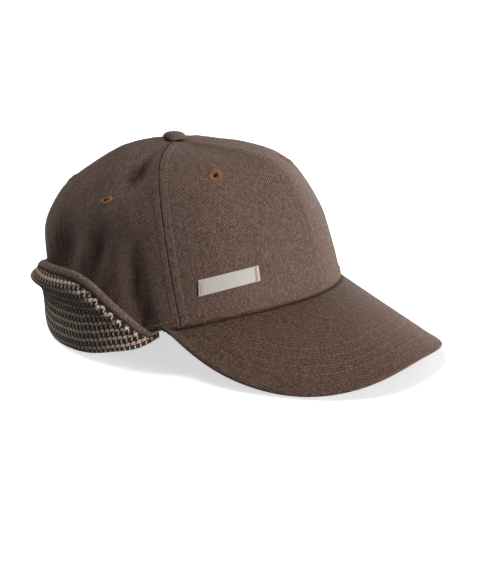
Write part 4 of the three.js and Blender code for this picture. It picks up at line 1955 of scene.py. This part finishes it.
@dataclass
class Flap:
    """The turned-up flap round the back: brown shell, houndstooth lining and a rolled brown edge."""

    layer: float = 1.2
    gap: float = 0.3
    turn_steps: int = 5
    least_leg: float = 0.6
    under_hem: float = 0.8
    edge_half_width: float = 2.2
    edge_half_height: float = 2.9
    edge_back: int = 4
    edge_sides: int = 24
    edge_sharp: float = 80.0
    stations: int = 260
    line_points: int = 72
    wave: float = 0.45
    wave_turn: float = 0.11
    wave_start: float = 0.8
    wave_leg: float = 40.0
    tip_half: float = 2.0
    top_shade: float = 0.7
    top_half: float = 0.7
    lip_shade: float = 0.9
    lip_angles: tuple[float, float] = (98.0, 122.0)
    lip_depths: tuple[float, float] = (4.0, 10.0)
    crown: CrownShape = CrownShape()
    angles: Array = field(init=False)

    def __post_init__(self) -> None:
        """Works out the stations' angles, from the wearer's right round the back to the left."""
        first = FLAP.rows[0][0]
        angle = np.linspace(first, 360.0 - first, self.stations + 1)
        self.angles = np.where(angle > 180.0, angle - 360.0, angle)

    def section(self, angle: float) -> Array:
        """Middle line of the flap's section.

        Args:
            angle: Angle round the crown.

        Returns:
            Offsets from the hem and heights: down, round the fold and up.
        """
        row = {name: float(FLAP.at(name, abs(angle))) for name in FLAP.names[1:]}
        half = self.layer + self.gap / 2.0
        start, middle = -half, row["fold"] + half + row["turn"]
        hem = float(self.crown.hem_height(np.array(angle)))
        line = [(start, max(hem - self.under_hem, middle + self.gap))]
        for step in range(self.turn_steps + 1):
            turn = math.pi * (1.0 + step / self.turn_steps)
            offset = start + row["turn"] * (1.0 + math.cos(turn))
            line.append((offset, middle + row["turn"] * math.sin(turn)))
        leg_start = start + 2.0 * row["turn"]
        top = row["edge"] - 2.0 * self.edge_half_height * row["roll"] - self.gap
        rise = max(top - middle, self.least_leg)
        wave = self.wave * math.sin(self.wave_turn * angle + self.wave_start)
        wave = wave * min(1.0, rise / self.wave_leg)
        body_out, lip_out = row["body"] - half - leg_start, row["lip"] - row["body"]
        for share, body, lip, inturn in LEG.rows[1:]:
            out = body_out * body + lip_out * lip - row["inturn"] * inturn
            line.append((leg_start + out + wave * share, middle + rise * share))
        return np.array(line)

    def smooth_section(self, angle: float) -> Array:
        """The section's middle line, smooth and evenly divided.

        Args:
            angle: Angle round the crown.

        Returns:
            Offsets from the hem and heights.
        """
        line = self.section(angle)
        reach = lengths_along(line)
        place = np.linspace(0.0, reach[-1], self.line_points)
        return np.stack([hermite(reach, line[:, axis], place) for axis in range(2)], -1)

    def placed(self, section: Array) -> Array:
        """Points in space of sections at all stations, never below the table.

        Args:
            section: Offsets from the hem and heights, stations by points by 2.

        Returns:
            The points.
        """
        angles = np.broadcast_to(self.angles[:, None], section.shape[:2])
        points = self.crown.hem_point(angles, section[..., 0])
        points[..., 2] = np.maximum(section[..., 1], 0.0)
        return points

    def lining_shade(self, top: Array) -> Array:
        """Painted shade on the lining: under the rolled edge, at the tips and on the lip round the back.

        Args:
            top: Distances down from the rolled edge.

        Returns:
            Seam shares of painted shade.
        """
        turn = np.abs(self.angles)[:, None]
        edge = self.top_shade * bell(top, self.top_half)
        tip = bell(turn - FLAP.rows[0][0], self.tip_half)
        lip = smoothstep(turn, *self.lip_angles) * (1.0 - smoothstep(top, *self.lip_depths))
        return np.maximum(np.maximum(edge, tip), self.lip_shade * lip)

    def build(self, finishes: Finishes) -> None:
        """Args:
            finishes: The cap's materials.
        """
        lines = np.stack([self.smooth_section(float(angle)) for angle in self.angles])
        middle = self.placed(lines)
        run, climb = lengths_along(middle[:, 0]), lengths_along(middle)
        lowest = np.argmin(lines[..., 1], axis=1)
        climb = climb - np.take_along_axis(climb, lowest[:, None], 1)
        flat = np.stack([np.broadcast_to(run[:, None], climb.shape) - run[-1] / 2.0, climb], -1)
        near, far = self.gap / 2.0, self.gap / 2.0 + self.layer
        shell = self.cloth(lines, -far, -near, flat, np.zeros_like(climb))
        lining = self.cloth(lines, near, far, flat, self.lining_shade(climb[:, -1:] - climb))
        shell_piece = shell.to_object("flap_shell_cloth", finishes.twill)
        lining_piece = lining.to_object("flap_lining_cloth", finishes.lining)
        place_piece(shell_piece, Slot.TWILL, "earflap_shell")
        place_piece(lining_piece, Slot.LINING, "earflap_lining")
        edge_piece = self.edge(lines).to_object("flap_edge_cloth", finishes.edge, self.edge_sharp)
        place_piece(edge_piece, Slot.TWILL, "earflap_edge")

    def cloth(self, lines: Array, near: float, far: float, flat: Array, seam: Array) -> MeshData:
        """One cloth layer of the flap.

        Args:
            lines: Sections' middle lines.
            near: Offset of the face towards the crown.
            far: Offset of the outer face.
            flat: Flat cloth places.
            seam: Seam shares of painted shade.

        Returns:
            The layer's mesh.
        """
        way = unit(np.gradient(lines, axis=1))
        side = np.stack([way[..., 1], -way[..., 0]], -1)
        return wall(self.placed(lines + side * far), self.placed(lines + side * near), flat, seam)

    def edge(self, lines: Array) -> MeshData:
        """The rolled edge along the flap's top.

        Args:
            lines: Sections' middle lines.

        Returns:
            The edge's mesh.
        """
        way = unit(lines[:, -1] - lines[:, -self.edge_back])
        side = np.stack([way[:, 1], -way[:, 0]], -1)
        roll = FLAP.at("roll", np.abs(self.angles))[:, None]
        middle = lines[:, -1] + way * (self.edge_half_height * roll + self.gap)
        turn = full_turn(self.edge_sides)
        out = self.edge_half_width * roll * np.cos(turn)
        up = self.edge_half_height * roll * np.sin(turn)
        section = middle[:, None] + out[..., None] * side[:, None] + up[..., None] * way[:, None]
        rings = self.placed(section)[None]
        run = lengths_along(rings[0, :, 0])
        return tubes(rings, tube_places(rings, run[None, :, None], self.edge_half_height * turn))


@dataclass(frozen=True)
class Lamp:
    """A soft distant lamp; its azimuth turns from the camera's right towards the camera."""

    name: str
    azimuth: float
    elevation: float
    energy: float
    angle: float = 30.0

    def build(self, right: Vector, level: Vector) -> None:
        """Makes the lamp.

        Args:
            right: The camera's right.
            level: Level way towards the camera.
        """
        turn, rise = math.radians(self.azimuth), math.radians(self.elevation)
        flat = math.cos(turn) * right + math.sin(turn) * level
        towards = math.cos(rise) * flat + math.sin(rise) * Vector((0.0, 0.0, 1.0))
        data = bpy.data.lights.new(self.name, "SUN")
        data.energy = self.energy
        data.angle = math.radians(self.angle)
        lamp = added(self.name, data)
        lamp.rotation_euler = towards.to_track_quat("Z", "Y").to_euler()
        lamp.location = towards


@dataclass(frozen=True)
class Studio:
    """Floor, light and camera; the camera's sizes are pixels of the photograph and millimetres."""

    azimuth: float = -54.57
    elevation: float = 17.0
    distance: float = 859.2
    focal: float = 1398.4
    frame_height: float = 570.0
    sensor: float = 36.0
    roll: float = 0.39
    target: tuple[float, float, float] = (-16.6, -19.26, 39.42)
    clip: tuple[float, float] = (0.01, 100.0)
    floor_half: float = 8.0
    sky: float = 0.06
    sky_stops: tuple[tuple[float, Colour], ...] = (
        (0.48, (0.0, 0.0, 0.0, 1.0)),
        (0.5, (1.0, 1.0, 1.0, 1.0)),
    )
    lamps: tuple[Lamp, ...] = (
        Lamp("rim", -60.0, 3.0, 3.0),
        Lamp("key", 33.0, 1.0, 7.6),
        Lamp("top", 216.0, 60.0, 2.15),
    )

    def axes(self) -> tuple[Vector, Vector, Vector]:
        """Directions of the level camera.

        Returns:
            Its right, up and backward ways.
        """
        turn, rise = math.radians(self.azimuth), math.radians(self.elevation)
        back = Vector((math.sin(turn) * math.cos(rise), -math.cos(turn) * math.cos(rise), math.sin(rise)))
        right = Vector((math.cos(turn), math.sin(turn), 0.0))
        return right, back.cross(right), back

    def camera(self) -> None:
        """Makes the camera."""
        right, up, back = self.axes()
        roll = math.radians(self.roll)
        turned = math.cos(roll) * right + math.sin(roll) * up
        upright = math.cos(roll) * up - math.sin(roll) * right
        data = bpy.data.cameras.new("camera")
        data.sensor_fit = "VERTICAL"
        data.sensor_height = self.sensor
        data.lens = self.focal / self.frame_height * self.sensor
        data.clip_start, data.clip_end = self.clip
        camera = added("camera", data)
        place = Matrix.Translation((Vector(self.target) + back * self.distance) * MM)
        camera.matrix_world = place @ Matrix((turned, upright, back)).transposed().to_4x4()
        bpy.context.scene.camera = camera

    def light(self) -> None:
        """Makes the sky, which is bright above the horizon alone, and the lamps."""
        world = bpy.data.worlds.new("studio")
        maker = NodeMaker(world)
        way = maker.out("ShaderNodeTexCoord", "Generated")
        height = maker.out("ShaderNodeSeparateXYZ", "Z", None, {"Vector": way})
        colour = maker.ramp(height * 0.5 + 0.5, self.sky_stops)
        sky = maker.out("ShaderNodeBackground", "Background", None, {"Color": colour, "Strength": self.sky})
        maker.node("ShaderNodeOutputWorld", None, {"Surface": sky})
        bpy.context.scene.world = world
        right, _, back = self.axes()
        level = Vector((back.x, back.y, 0.0)).normalized()
        for lamp in self.lamps:
            lamp.build(right, level)

    def floor(self) -> None:
        """Makes the floor."""
        half = self.floor_half
        corners = [(-half, -half, 0.0), (half, -half, 0.0), (half, half, 0.0), (-half, half, 0.0)]
        mesh = bpy.data.meshes.new("floor")
        mesh.from_pydata(corners, [], [(0, 1, 2, 3)])
        mesh.materials.append(FloorFinish().material())
        floor = added("floor", mesh)
        floor.visible_diffuse = False

    def build(self) -> None:
        """Makes all of it."""
        self.camera()
        self.light()
        self.floor()
        bpy.context.scene.view_settings.view_transform = "Standard"


def main() -> None:
    """Builds the cap's pieces in order."""
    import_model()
    finishes = Finishes.made()
    Studio().build()
    crown = Crown()
    crown.build(finishes)
    TopButton().build(crown.shape, finishes)
    Label().build(crown.shape, finishes)
    Peak().build(finishes)
    Flap().build(finishes)
    CornerTacks().build(crown, finishes)


if __name__ == "__main__":
    logging.basicConfig(level=logging.INFO, format="%(message)s", stream=sys.stdout)
    main()
